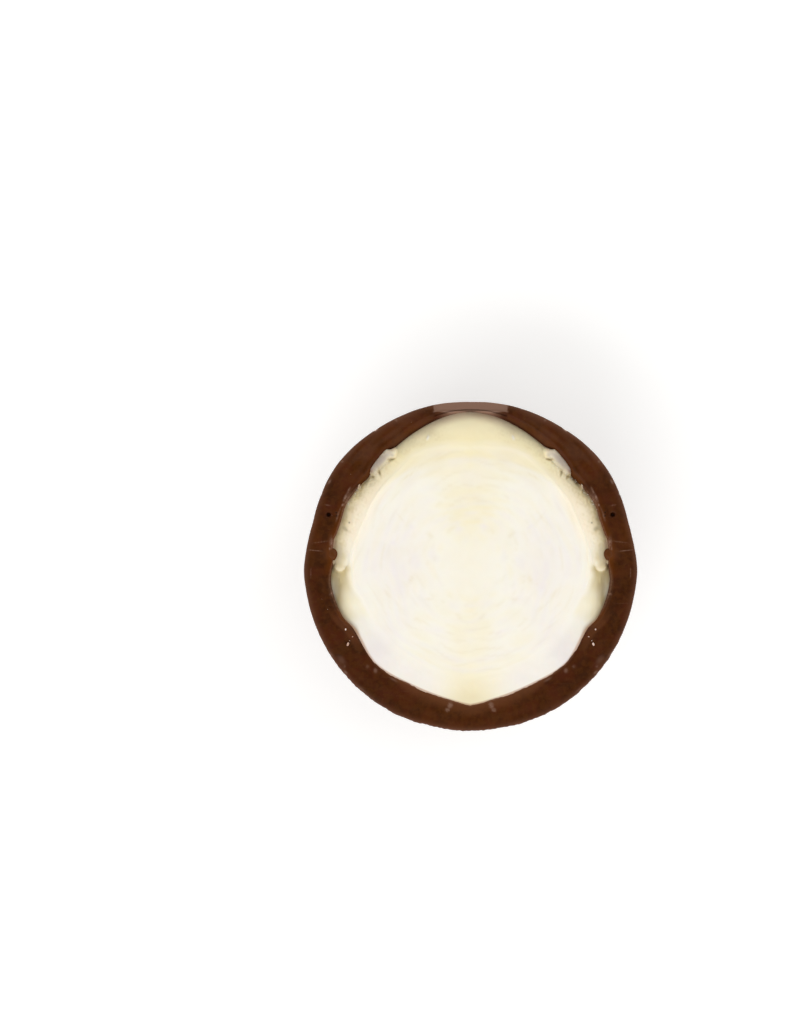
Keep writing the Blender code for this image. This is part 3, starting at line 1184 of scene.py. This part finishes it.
        # Warm tones, with painted bounce light on the inner bevel, the low lip and the outer edge, and on the
        # torn notch's wall.
        bevel = ease(gap - shape.lip.at(clock), 0.02, -0.3) * window(clock, 12, 22, 32, 40)
        glow = torn_wall + film + 0.2 * (bevel + edge) + 0.45 * low_lip + 0.5 * side_lip + 0.3 * knee
        glow += 0.12 * ease(clock, 150, 166) + 0.15 * window(clock, 16, 26, 46, 62)
        glow += 0.6 * ease(gap, 0.42, 0.15) * window(clock, 106, 110, 114, 119)
        glow += spots(places, self.warm_spots)

        # Painted shade in the pinholes, in the groove under the chip's strip, in the torn notch and along the
        # inner edge.
        pit = 3 * spots(places, self.pinholes) + spots(places, self.grooves) + 0.45 * torn_wall
        pit += 0.6 * ease(gap, 0.2, 0.05) * window(clock, 8, 16, 33, 36)
        paint(mesh, scraped=scraped * on_top, bloom=bloom * on_top, glow=glow * on_top, pit=pit * on_top)


@dataclass
class Filling:
    """The cream: a disc smoothed by the knife, a slope down to the wall and a torn edge."""

    outlines: Outlines
    segments: int = 800
    disc_rows: int = 50
    slope_rows: int = 50
    disc_drop: float = 0.12
    hollow_depth: float = 0.2
    crown: float = 0.08
    roll: float = 0.05
    stroke_drop: float = 0.02
    edge_step: float = 0.05
    slope_power: float = 1.4
    reach: float = 0.12  # how far the cream runs into the wall
    overlap: float = 0.62  # how far the curl lies over the chocolate's lip
    smudge_depth: float = 0.02
    underside: tuple[float, ...] = (0.97, 0.7, 0.4, 0.15)  # how far out its rows lie
    underside_rise: float = 0.2
    underside_drop: float = 0.9
    bottom_rise: float = 0.1
    curl: Ridge = Ridge((
        (8.24, 8.16, -0.3), (7.8, 8.67, -0.22), (7.26, 9.27, -0.14), (6.93, 9.56, -0.1), (6.66, 9.52, -0.1),
    ), 0.45, 0.3, 2.6, 0.16)
    tooth: Ridge = Ridge(((9.47, 6.57, -0.42), (9.43, 6.9, -0.2)), 0.1, 0.25, 2.0, 0.03)
    tongue: Ridge = Ridge(
        ((10.85, 3.2, -0.4), (10.9, 1.9, -0.18), (10.88, 0.62, -0.09)), 0.69, 0.3, 4.0, 0.08
    )
    tongue_tip: Ridge = Ridge(((10.94, 1.2, -0.16), (11.0, 0.03, -0.1)), 0.44, 0.22, 3.0, 0.05)
    tongue_root: Ridge = Ridge(((11.55, 2.4, -0.3), (11.62, 0.5, -0.22)), 0.36, 0.3, 3.0, 0.1)
    deep_pits: Spots = ovals((6.71, 9.05, 0.34, 0.12, -3, 0.1, 2.5), (6.68, 10.04, 0.36, 0.13, -25, 0.5, 2.5))
    hollows: Spots = ovals(
        (11.3, -1.9, 0.4, 1.2, 0, 0.12), (7.72, 8.12, 0.36, 0.11, 75, 0.16, 1.5),
        (8.27, 7.68, 0.33, 0.1, 65, 0.14, 1.5), (8.9, 7.17, 0.5, 0.14, -48, 0.18),
        (7.66, 7.8, 0.26, 0.1, 70, 0.12, 1.5), (10.63, 3.2, 0.26, 0.17, 40, 0.18, 1.5),
        (10.23, 3.67, 0.06, 0.06, 0, 0.06, 2),
    )
    bumps: Spots = ovals(
        (3.60, 10.86, 0.08, 0.22, 12, 0.16, 1.5), (7.46, 8.08, 0.1, 0.3, 20, 0.06),
        (11.00, -1.18, 0.1, 0.22, 0, 0.05),
    )
    curled: Spots = ovals((7.6, 8.95, 1.4, 0.5, -48, 1.0, 2))
    smudges: Spots = ovals(
        (5.02, -1.1, 0.16, 0.36, 20, 1.0), (3.42, 2.64, 0.34, 0.2, 40, 0.8),
        (7.0, -2.35, 0.5, 0.14, 55, 0.9), (3.58, -2.76, 0.34, 0.12, 0, 0.7),
        (0.98, -4.24, 0.36, 0.14, 42, 0.9), (4.62, -4.44, 0.2, 0.14, 0, 0.6),
        (5.2, 7.66, 0.55, 0.07, -33, 0.9), (4.3, 8.5, 0.7, 0.06, -27, 0.5),
        (6.9, 1.2, 0.12, 0.5, 10, 0.5), (2.4, -5.9, 0.8, 0.12, 18, 0.4), (5.9, 4.1, 0.6, 0.1, 52, 0.4),
        (4.0, -6.9, 1.0, 0.1, 28, 0.4),
    )
    shines: Spots = ovals(
        (5.95, -1.9, 0.5, 0.75, 10, 0.9), (6.5, 1.97, 0.2, 0.2, 0, 0.7), (4.96, 3.3, 0.3, 0.14, 40, 0.7),
        (1.1, 3.4, 0.25, 0.4, 0, 0.5), (2.5, -5.5, 0.9, 0.15, 18, 0.6), (2.1, -7.8, 1.6, 0.3, 12, 0.5),
    )
    butter_spots: Spots = ovals(
        (0, -10.8, 3.0, 2.6, 0, 0.7), (0, 5.5, 2.4, 3.4, 0, 0.5), (0, -1.0, 1.6, 3.0, 0, 0.12),
        (0, -5.6, 1.7, 2.4, 0, 0.3), (0, 9.22, 5.0, 1.2, 0, 0.35), (10.36, -1.58, 0.45, 1.6, 0, 0.6),
    )
    # The spot on the tick at (3.60, 10.86) paints its highlight.
    lilac_spots: Spots = ovals(
        (8.25, -7.57, 3.4, 1.5, -55, 0.9), (6.55, 0.53, 2.6, 3.6, 0, 0.6),
        (4.65, -9.28, 2.6, 1.1, 25, 0.6), (9.45, 6.56, 0.14, 0.12, 0, 0.4),
        (3.60, 10.86, 0.09, 0.24, 12, 0.9, 1.5), (7.0, 9.4, 0.8, 0.5, -48, 0.3, 1.5),
        (9.45, 6.6, 0.12, 0.45, 12, 0.7, 1.5),
    )
    peach_spots: Spots = ovals((10.62, -0.5, 0.25, 0.3, 0, 0.45))
    # Some straw spots are painted shade under the curl's tip, between its teeth and in the hollows.
    straw_spots: Spots = ovals(
        (11.1, -2.4, 0.45, 1.6, 12, 0.45), (10.95, 1.2, 0.62, 1.1, 0, 0.2, 2),
        (7.95, 8.5, 1.1, 0.5, -48, 0.25, 1.5), (11.05, -0.05, 0.42, 0.4, 0, 0.3, 1.5),
        (10.3, -0.2, 0.25, 0.35, 0, 0.4), (10.65, -0.6, 0.25, 0.3, 0, 0.25),
        (10.4, -0.3, 0.2, 0.2, 0, 0.15), (10.7, 0.75, 0.2, 0.35, 0, 0.2),
        (6.71, 9.06, 0.36, 0.14, -3, 0.42, 2), (7.72, 8.12, 0.42, 0.12, 75, 0.4),
        (8.27, 7.68, 0.34, 0.13, 65, 0.4), (8.9, 7.17, 0.5, 0.16, -48, 0.5), (0, -11.3, 1.7, 1.1, 0, 0.3),
    )
    shade_spots: Spots = ovals(
        (11.6, -2.6, 0.2, 0.75, -18, 0.7), (11.8, -1.3, 0.12, 0.6, 0, 0.25),
        (7.77, 8.72, 1.3, 0.5, -48, 0.55, 1.5), (8.25, 8.42, 0.6, 0.4, -48, 0.14),
        (8.4, 8.04, 0.22, 0.16, -48, 0.42), (6.75, 9.5, 0.5, 0.4, -48, 0.2, 1.5),
        (6.58, 9.33, 0.16, 0.16, 0, 0.3), (7.5, 9.0, 0.6, 0.3, -48, 0.2, 1.5),
        (11.1, 1.15, 0.3, 1.0, 0, 0.3, 2), (9.46, 6.78, 0.12, 0.28, 12, 0.9),
    )
    # Painted shade under the curl's tip, between its teeth and in the tongue's hollows.
    olive_spots: Spots = ovals(
        (6.71, 9.03, 0.34, 0.11, -3, 0.15, 2), (10.63, 3.2, 0.26, 0.17, 40, 0.45),
        (8.27, 7.66, 0.32, 0.11, 65, 0.2), (7.66, 7.8, 0.26, 0.1, 70, 0.3),
        (10.95, 1.1, 0.6, 1.1, 0, 0.1, 2), (11.1, 0.0, 0.42, 0.42, 0, 0.1, 1.5),
    )
    # Painted shade beside the bead and on the tongue.
    smear_spots: Spots = ovals((11.5, 1.85, 0.25, 0.4, 0, 0.45, 1.5), (11.3, 0.6, 0.2, 0.5, 0, 0.2))
    rust_spots: Spots = ovals((8.37, 8.02, 0.17, 0.12, -48, 0.45))
    # Painted shade in a pinhole and in the dark pocket by the curl's tip.
    pit_spots: Spots = ovals((10.23, 3.67, 0.08, 0.08, 0, 0.5, 2), (6.67, 10.04, 0.36, 0.13, -25, 1.0, 2.5))

    def hollow(self, places: Places) -> Array:
        """How deep in the hollow below the tongue each place lies.

        Args:
            places: Where it is read.

        Returns:
            Numbers from 0 to 1.
        """
        past_disc = places.radius - self.outlines.disc.at(places.clock)
        low = window(places.y, -3.4, -1.0, 0.1, 0.5) * ease(past_disc, 0.05, 0.6)
        for ridge in (self.tongue, self.tongue_tip, self.tongue_root):
            low = low * ridge.beside(places)
        return low

    def edge(self, clock: Array) -> Array:
        """Radius at which the cream ends, inside the wall or over the lip."""
        return self.outlines.cavity(clock) + self.reach + self.overlap * window(clock, 34.3, 36.2, 45.8, 46.5)

    def swept(self, places: Places, seed: int, width: float) -> Array:
        """Reads unevenness that is drawn out round the disc, as the knife swept it.

        Args:
            places: Where it is read.
            seed: Seed of its waves.
            width: How wide its strokes are, in millimetres.

        Returns:
            Numbers from about -1 to 1.
        """
        wander = 0.3 * Ripple(seed + 1, 5.0).at(places.x, places.y)
        strokes = Ripple(seed, width, 14).at(places.radius + wander, places.clock * width / 24)
        return strokes * ease(places.radius, 1.0, 4.0)

    def height(self, places: Places) -> Array:
        """Height of the cream over the cut plane.

        Args:
            places: Where it is read.

        Returns:
            Heights in millimetres.
        """
        shape = self.outlines
        x, y, clock, radius = places.x, places.y, places.clock, places.radius
        disc, cavity = shape.disc.at(clock), shape.cavity(clock)
        past_disc, past_stroke = radius - disc, radius - shape.stroke.at(clock)
        share = np.clip(past_disc / (cavity - disc), 0, 1)
        inside = -self.disc_drop + self.crown * (1 - (radius / disc) ** 2)
        outside = -self.disc_drop - (shape.drop.at(clock) - self.disc_drop) * share**self.slope_power
        height = np.where(radius < disc, inside, outside)

        rolled = self.roll * (window(clock, 35, 55, 92, 108) + 0.25)
        height += rolled * (bell(past_disc, -0.1, 0.12) - 0.15 * bell(past_disc, 0.18, 0.18))
        height -= self.edge_step * ease(past_disc, -0.03, 0.09) * window(clock, 30, 45, 96, 104)
        stroked = ease(past_stroke, 0.0, 0.12) * ease(past_disc, 0.0, -0.5) * ease(clock, 58, 44)
        height -= self.stroke_drop * stroked

        on_disc = ease(past_disc, 0.0, -0.3)
        calm = 1 - 0.6 * ease(y, -4.5, -6.5)
        strokes = 0.006 * self.swept(places, 21, 0.9) + 0.0025 * self.swept(places, 28, 0.35)
        height += on_disc * (calm * strokes + 0.006 * Ripple(23, 1.2).at(x, y))
        height -= self.smudge_depth * spots(places, self.smudges)

        slope = ease(past_disc, 0.0, 0.5)
        rough = 0.008 + 0.008 * window(clock, 56, 64, 84, 92)
        height += slope * (0.02 * Ripple(24, 1.3).at(x, y) + rough * Ripple(25, 0.45).at(x, y))
        torn = slope * window(clock, 26, 34, 58, 70) * ease(share, 0.2, 0.8)
        height += torn * (0.035 * Ripple(26, 0.75).at(x, y) + 0.022 * Ripple(27, 0.3).at(x, y))
        curled = spots(places, self.curled)
        scraps = 0.012 * Ripple(29, 0.2).at(x, y) + curled * 0.03 * Ripple(30, 0.45).at(x, y)
        height += (torn + 1.5 * curled) * scraps

        # The pits go in before the ridges and again after them, so that they cut through both
        pits = spots(places, self.deep_pits)
        height -= spots(places, self.hollows) + pits + self.hollow_depth * self.hollow(places)
        for ridge in (self.curl, self.tooth, self.tongue_root, self.tongue, self.tongue_tip):
            height = blended(height, ridge.height(places), ridge.soft)
        return height + spots(places, self.bumps) - pits

    def build(self, finish: Material) -> Object:
        """Builds the cream.

        Args:
            finish: Its material.

        Returns:
            The cream's piece.
        """
        shape = self.outlines
        turn, clock = clock_ring(self.segments)
        disc, edge = shape.disc.at(clock), self.edge(clock)
        inner = 1 - (1 - np.arange(1, self.disc_rows)[:, None] / self.disc_rows) ** 1.5
        slope = np.arange(self.slope_rows + 1)[:, None] / self.slope_rows
        radius = np.concatenate((disc * inner, disc + (edge - disc) * slope))
        x, y = radius * np.sin(turn), radius * np.cos(turn)
        height = self.height(Places(x, y))

        polar = np.array(self.underside)[:, None] * math.pi / 2
        under = (shape.cavity(clock) + self.reach) * np.sin(polar)
        depth = (self.underside_rise - shape.bowl_depth) * np.cos(polar) - self.underside_drop + 0 * clock
        rows = np.stack((
            np.concatenate((x, under * np.sin(turn))), np.concatenate((y, under * np.cos(turn))),
            shape.cut_height + np.concatenate((height, depth)),
        ), axis=-1)
        crown = (0.0, 0.0, shape.cut_height - self.disc_drop + self.crown)
        bottom = (0.0, 0.0, shape.cut_height - shape.bowl_depth + self.bottom_rise)
        mesh = joined("cream_filling", rows_mesh("cream", rows, crown, bottom))
        mesh.materials.append(finish)
        self.tint(mesh)
        return piece("cream_filling", mesh, "filling")

    def tint(self, mesh: Mesh) -> None:
        """Marks the cream's buttery, cool, peachy, straw and smeared tones, a painted crest highlight and
        painted shade.

        Args:
            mesh: The cream's mesh.
        """
        shape, points = self.outlines, points_of(mesh)
        places = Places(points[:, 0], points[:, 1])
        clock, radius = places.clock, places.radius
        past_disc, past_stroke = radius - shape.disc.at(clock), radius - shape.stroke.at(clock)
        gap = radius - shape.cavity(clock)
        on_disc = ease(past_disc, 0.1, -0.2)
        strokes = on_disc * self.swept(places, 41, 0.7)

        butter = spots(places, self.butter_spots) + 0.13 * np.clip(strokes, 0, 1.5)
        butter += 0.35 * ease(past_stroke, -0.05, 0.3) * ease(clock, 60, 46)
        butter += 0.5 * ease(past_disc, -0.3, 0.6) * ease(clock, 75, 30)
        butter += 0.35 * ease(past_disc, 0.0, 0.4) * window(clock, 102, 106, 112, 118)

        lilac = spots(places, self.lilac_spots) + 0.6 * spots(places, self.shines)
        lilac += 0.22 * np.clip(-strokes, 0, 1.5)

        # A warm tone inside the disc's rim, with a painted highlight along its crest.
        peach = 0.4 * ease(past_disc, -1.0, -0.4) * ease(clock, 84, 72) + 0.4 * ease(past_disc, -0.1, 0.2)
        peach += 0.3 * bell(past_disc, -0.12, 0.16)
        peach *= window(clock, 38, 56, 90, 100) * (1 - 0.7 * ease(clock, 80, 86) * ease(radius, 9.95, 10.1))
        peach += spots(places, self.peach_spots)

        hollow = self.hollow(places)
        near_wall = ease(gap, -1.3, -0.1)
        grain = np.clip(Ripple(52, 0.32).at(places.x, places.y), 0, 1)
        # Straw tones, with painted shade near the wall, in the hollow below the tongue and in the dents under
        # the curl.
        straw = spots(places, self.straw_spots) + 0.22 * spots(places, self.smudges)
        straw += (0.1 + 0.7 * near_wall) * ease(past_disc, -0.05, 0.4) * window(clock, 40, 58, 86, 100)
        straw += 0.55 * near_wall * window(clock, 100, 105, 111, 117)
        straw += 0.18 * grain * ease(past_disc, 0.1, 0.6) * window(clock, 6, 16, 76, 92)
        straw += 0.1 * ease(radius, 8.2, 8.8) * window(clock, 8, 18, 38, 50)
        straw += 0.1 * ease(past_disc, -0.02, 0.1) * window(clock, 34, 42, 58, 64)
        straw += (0.45 + 0.25 * ease(radius, 10.3, 11.0)) * hollow
        straw += 0.1 * on_disc * np.clip(self.swept(places, 45, 0.4) - 0.5, 0, 1)

        shade = 0.07 * ease(radius, 9.4, 10.2) * window(clock, 108, 116, 130, 150)
        shade += spots(places, self.shade_spots)

        # Painted shade near the wall, in olive and smeared tints.
        reach = 0.3 + 0.7 * ease(clock, 30, 16) + 0.15 * window(clock, 100, 106, 116, 122)
        reach += 0.25 * window(clock, 60, 70, 88, 94)
        close = ease(gap, -reach, 0.02)
        olive = 0.22 * window(clock, 10, 20, 33, 36) + 0.5 * window(clock, 45, 48, 88, 94)
        olive += 0.5 * window(clock, 100, 106, 118, 124) - 0.4 * window(clock, 45, 47, 54, 56)
        olive = olive * close + 0.15 * hollow * ease(radius, 10.8, 11.6) + spots(places, self.olive_spots)

        # Smeared chocolate tint and painted shade where the cream meets the wall and beside the bead.
        smear = close * (0.15 + 0.5 * ease(clock, 22, 8)) * ease(clock, 126, 118)
        smear += spots(places, self.smear_spots)
        rust = ease(gap, 0.06 * ease(clock, 126, 138) - 0.18, 0.03) * (1 - window(clock, 33, 35, 47.5, 49))
        rust = rust * (0.25 * ease(clock, 12, 20) + 0.38 * ease(clock, 104, 118))
        rust += spots(places, self.rust_spots)
        paint(
            mesh, butter=butter, lilac=lilac, peach=np.minimum(peach, 0.85), straw=straw, shade=shade,
            olive=olive, smear=smear, rust=rust, pit=spots(places, self.pit_spots),
        )


@dataclass
class SeamBeads:
    """The two beads of chocolate that the moulding seam squeezed into the cream."""

    outlines: Outlines
    side: float = 11.64
    up: float = 1.01
    drop: float = 0.36
    radius: float = 0.52
    stretch: tuple[float, float, float] = (1.0, 1.06, 0.9)
    lumpiness: float = 0.07

    def build(self, finish: Material) -> Object:
        """Builds both beads as one piece.

        Args:
            finish: Their material.

        Returns:
            The piece.
        """
        meshes = []
        for sign in (-1, 1):
            shape = bmesh.new()
            bmesh.ops.create_icosphere(shape, subdivisions=5, radius=self.radius * MM)
            mesh = bpy.data.meshes.new("bead")
            shape.to_mesh(mesh)
            shape.free()
            ball = points_of(mesh)
            swell = 1 + self.lumpiness * Ripple(31, 0.9).at(*ball.T)
            middle = (self.side, self.up, self.outlines.cut_height - self.drop)
            move_points(mesh, (ball * self.stretch * swell[:, None] + middle) * (sign, 1, 1))
            meshes.append(mesh)
        mesh = joined("seam_beads", *meshes)
        mesh.materials.append(finish)
        paint(mesh, scraped=0.05, bloom=0.0, glow=0.6, pit=0.0)
        return piece("seam_beads", mesh)


@dataclass
class Crumbs:
    """Pale crumbs that the knife left on the cut chocolate, and bits of cream along the torn edge."""

    outlines: Outlines
    named: tuple[tuple[float, float, float, float], ...] = (
        (10.53, -5.32, 0.062, 100), (9.95, -5.93, 0.04, 150), (10.34, -6.57, 0.09, 108),
        (8.0, 11.45, 0.04, 130), (10.2, -6.27, 0.025, 30),
    )  # side, up, size and the way its long side points on the right
    scattered: int = 12
    torn: int = 40
    seed: int = 17

    def strewn(
        self, clock: float, radius: float, height: float, size: float, draw: np.random.Generator
    ) -> tuple[float, ...]:
        """Puts a crumb on either side of the mirror line, turned any way.

        Args:
            clock: Its clock angle.
            radius: Its distance from the middle.
            height: Its height over the floor.
            size: Its size.
            draw: What draws its side and its turn.

        Returns:
            Its place, size and way.
        """
        turn = math.radians(clock) * draw.choice((-1, 1))
        return radius * math.sin(turn), radius * math.cos(turn), height, size, draw.uniform(0, 360)

    def build(self, crumb: Material, cream: Material) -> list[Object]:
        """Builds the crumbs.

        Args:
            crumb: Material of the crumbs on the chocolate.
            cream: Material of the bits of cream.

        Returns:
            Two pieces.
        """
        shape = self.outlines
        draw = np.random.default_rng(self.seed)
        on_face, on_edge = [], []
        for side, up, size, way in self.named:
            for sign, turned in ((-1, 180 - way), (1, way)):
                on_face.append((sign * side, up, shape.cut_height + size * 0.1, size, turned))
        for _ in range(self.scattered):
            clock = draw.uniform(20, 180)
            low, high = float(shape.cavity(clock)) + 0.7, float(shape.outer(clock)) - 0.5
            radius, size = draw.uniform(low, max(low, high)), draw.uniform(0.007, 0.013)
            on_face.append(self.strewn(clock, radius, shape.cut_height, size, draw))
        for _ in range(self.torn):
            clock = draw.uniform(46, 66)
            radius, size = float(shape.cavity(clock)) - draw.uniform(-0.03, 0.22), draw.uniform(0.018, 0.045)
            height = shape.cut_height - float(shape.drop.at(clock))
            on_edge.append(self.strewn(clock, radius, height, size, draw))
        tree = CrumbTree().build()
        made = []
        kinds = (("pale_crumbs", on_face, crumb, 0.5), ("cream_bits", on_edge, cream, 0.8))
        for name, rows, finish, flat in kinds:
            table = np.array(rows)
            base = plain_mesh("crumb_points", table[:, :3], [])
            carry(base, size=table[:, 3] * MM, way=np.radians(table[:, 4]))
            values = {"Flatness": flat, "Roughness": 0.9, "Seed": self.seed, "Material": finish}
            mesh = grown(tree, base, values)
            mesh.name = name
            # The bits of cream get the straw tint and painted shade of the torn edge they lie on.
            paint(mesh, straw=0.2, olive=0.2)
            made.append(piece(name, mesh))
        return made


@dataclass
class Studio:
    """The floor, the soft light and the camera."""

    outlines: Outlines
    lens: float = 100.0
    sensor: float = 36.0
    pixels_high: int = 1024
    pixels_per_mm: float = 11.87
    pixels_right: float = 74.65  # how far right of the picture's middle the ball's middle lies
    pixels_below: float = 54.3
    horizon: float = 1.66
    zenith: float = 0.38
    light_distance: float = 0.6
    floor_reach: float = 3000.0

    def camera(self) -> Object:
        """Looks straight down on the cut face, as the photograph does.

        Returns:
            The camera.
        """
        distance = self.lens / self.sensor * self.pixels_high / self.pixels_per_mm
        data = bpy.data.cameras.new("camera")
        data.lens, data.sensor_width = self.lens, self.sensor
        data.clip_start, data.clip_end = 0.01, 20.0
        made = placed("camera", data)
        left, above = -self.pixels_right / self.pixels_per_mm, self.pixels_below / self.pixels_per_mm
        made.location = (left * MM, above * MM, (self.outlines.cut_height + distance) * MM)
        bpy.context.scene.camera = made
        return made

    def softbox(
        self, name: str, azimuth: float, elevation: float, size: tuple[float, float], watts: float
    ) -> None:
        """Hangs a soft light that faces the ball.

        Args:
            name: The light's name.
            azimuth: Where it stands, in degrees from -Y towards +X.
            elevation: How high it stands, in degrees.
            size: Its width and height in metres.
            watts: Its power.
        """
        data = bpy.data.lights.new(name, "AREA")
        data.shape, data.energy = "RECTANGLE", watts
        data.size, data.size_y = size
        lamp = placed(name, data)
        a, e = math.radians(azimuth), math.radians(elevation)
        way = (math.sin(a) * math.cos(e), -math.cos(a) * math.cos(e), math.sin(e))
        lamp.location = tuple(self.light_distance * part for part in way)
        lamp.rotation_mode = "QUATERNION"
        lamp.rotation_quaternion = lamp.location.to_track_quat("Z", "Y")

    def world(self) -> None:
        """Lights the ball from all round the horizon, and hardly from straight above."""
        made = bpy.data.worlds.new("studio")
        bpy.context.scene.world = made
        made.use_nodes = True
        sheet, background = Sheet(made.node_tree), made.node_tree.nodes["Background"]
        place = sheet.value("ShaderNodeTexCoord", output="Generated")
        height = sheet.value("ShaderNodeSeparateXYZ", {0: place}, 2)
        bright = sheet.between(height, 0.25, 0.85, self.horizon, self.zenith)
        sheet.feed(background, Color=(1.0, 0.99, 0.97, 1.0), Strength=bright)

    def floor(self) -> None:
        """Lays the plain pale floor."""
        material, sheet, shader = principled(
            "pale_floor", Roughness=0.8, Specular_IOR_Level=0.2, Emission_Strength=0.2
        )
        grain = sheet.noise(sheet.value("ShaderNodeTexCoord", output="Object"), 3.0)
        colour = sheet.layered(srgb(252, 252, 252), (grain, srgb(254, 254, 254)))
        sheet.feed(shader, Base_Color=colour, Emission_Color=colour)
        reach = self.floor_reach
        corners = [(x * reach, y * reach, 0) for x, y in ((-1, -1), (1, -1), (1, 1), (-1, 1))]
        mesh = plain_mesh("floor", corners, [(0, 1, 2, 3)])
        mesh.materials.append(material)
        made = placed("floor", mesh)
        made.location.z = -0.01 * MM

    def build(self) -> None:
        """Sets up the camera, the lights and the floor."""
        self.camera()
        self.world()
        self.softbox("key", -25, 40, (0.6, 0.45), 1.3)
        self.softbox("fill", 120, 35, (0.5, 0.4), 0.5)
        self.floor()
        bpy.context.scene.view_settings.view_transform = "Standard"


def main() -> None:
    """Builds the half ball and its studio."""
    logging.basicConfig(level=logging.INFO, format="%(name)s: %(message)s")
    outlines = Outlines()
    groups = Groups(GrainGroup().build(), BloomGroup().build())
    cut, moulded = CutChocolate().material(groups), MouldedChocolate().material(groups)
    cream = Cream().material(groups)
    Shell(outlines).build(cut, moulded)
    Filling(outlines).build(cream)
    SeamBeads(outlines).build(cut)
    Crumbs(outlines).build(PaleCrumb().material(groups), cream)
    Studio(outlines).build()


if __name__ == "__main__":
    main()
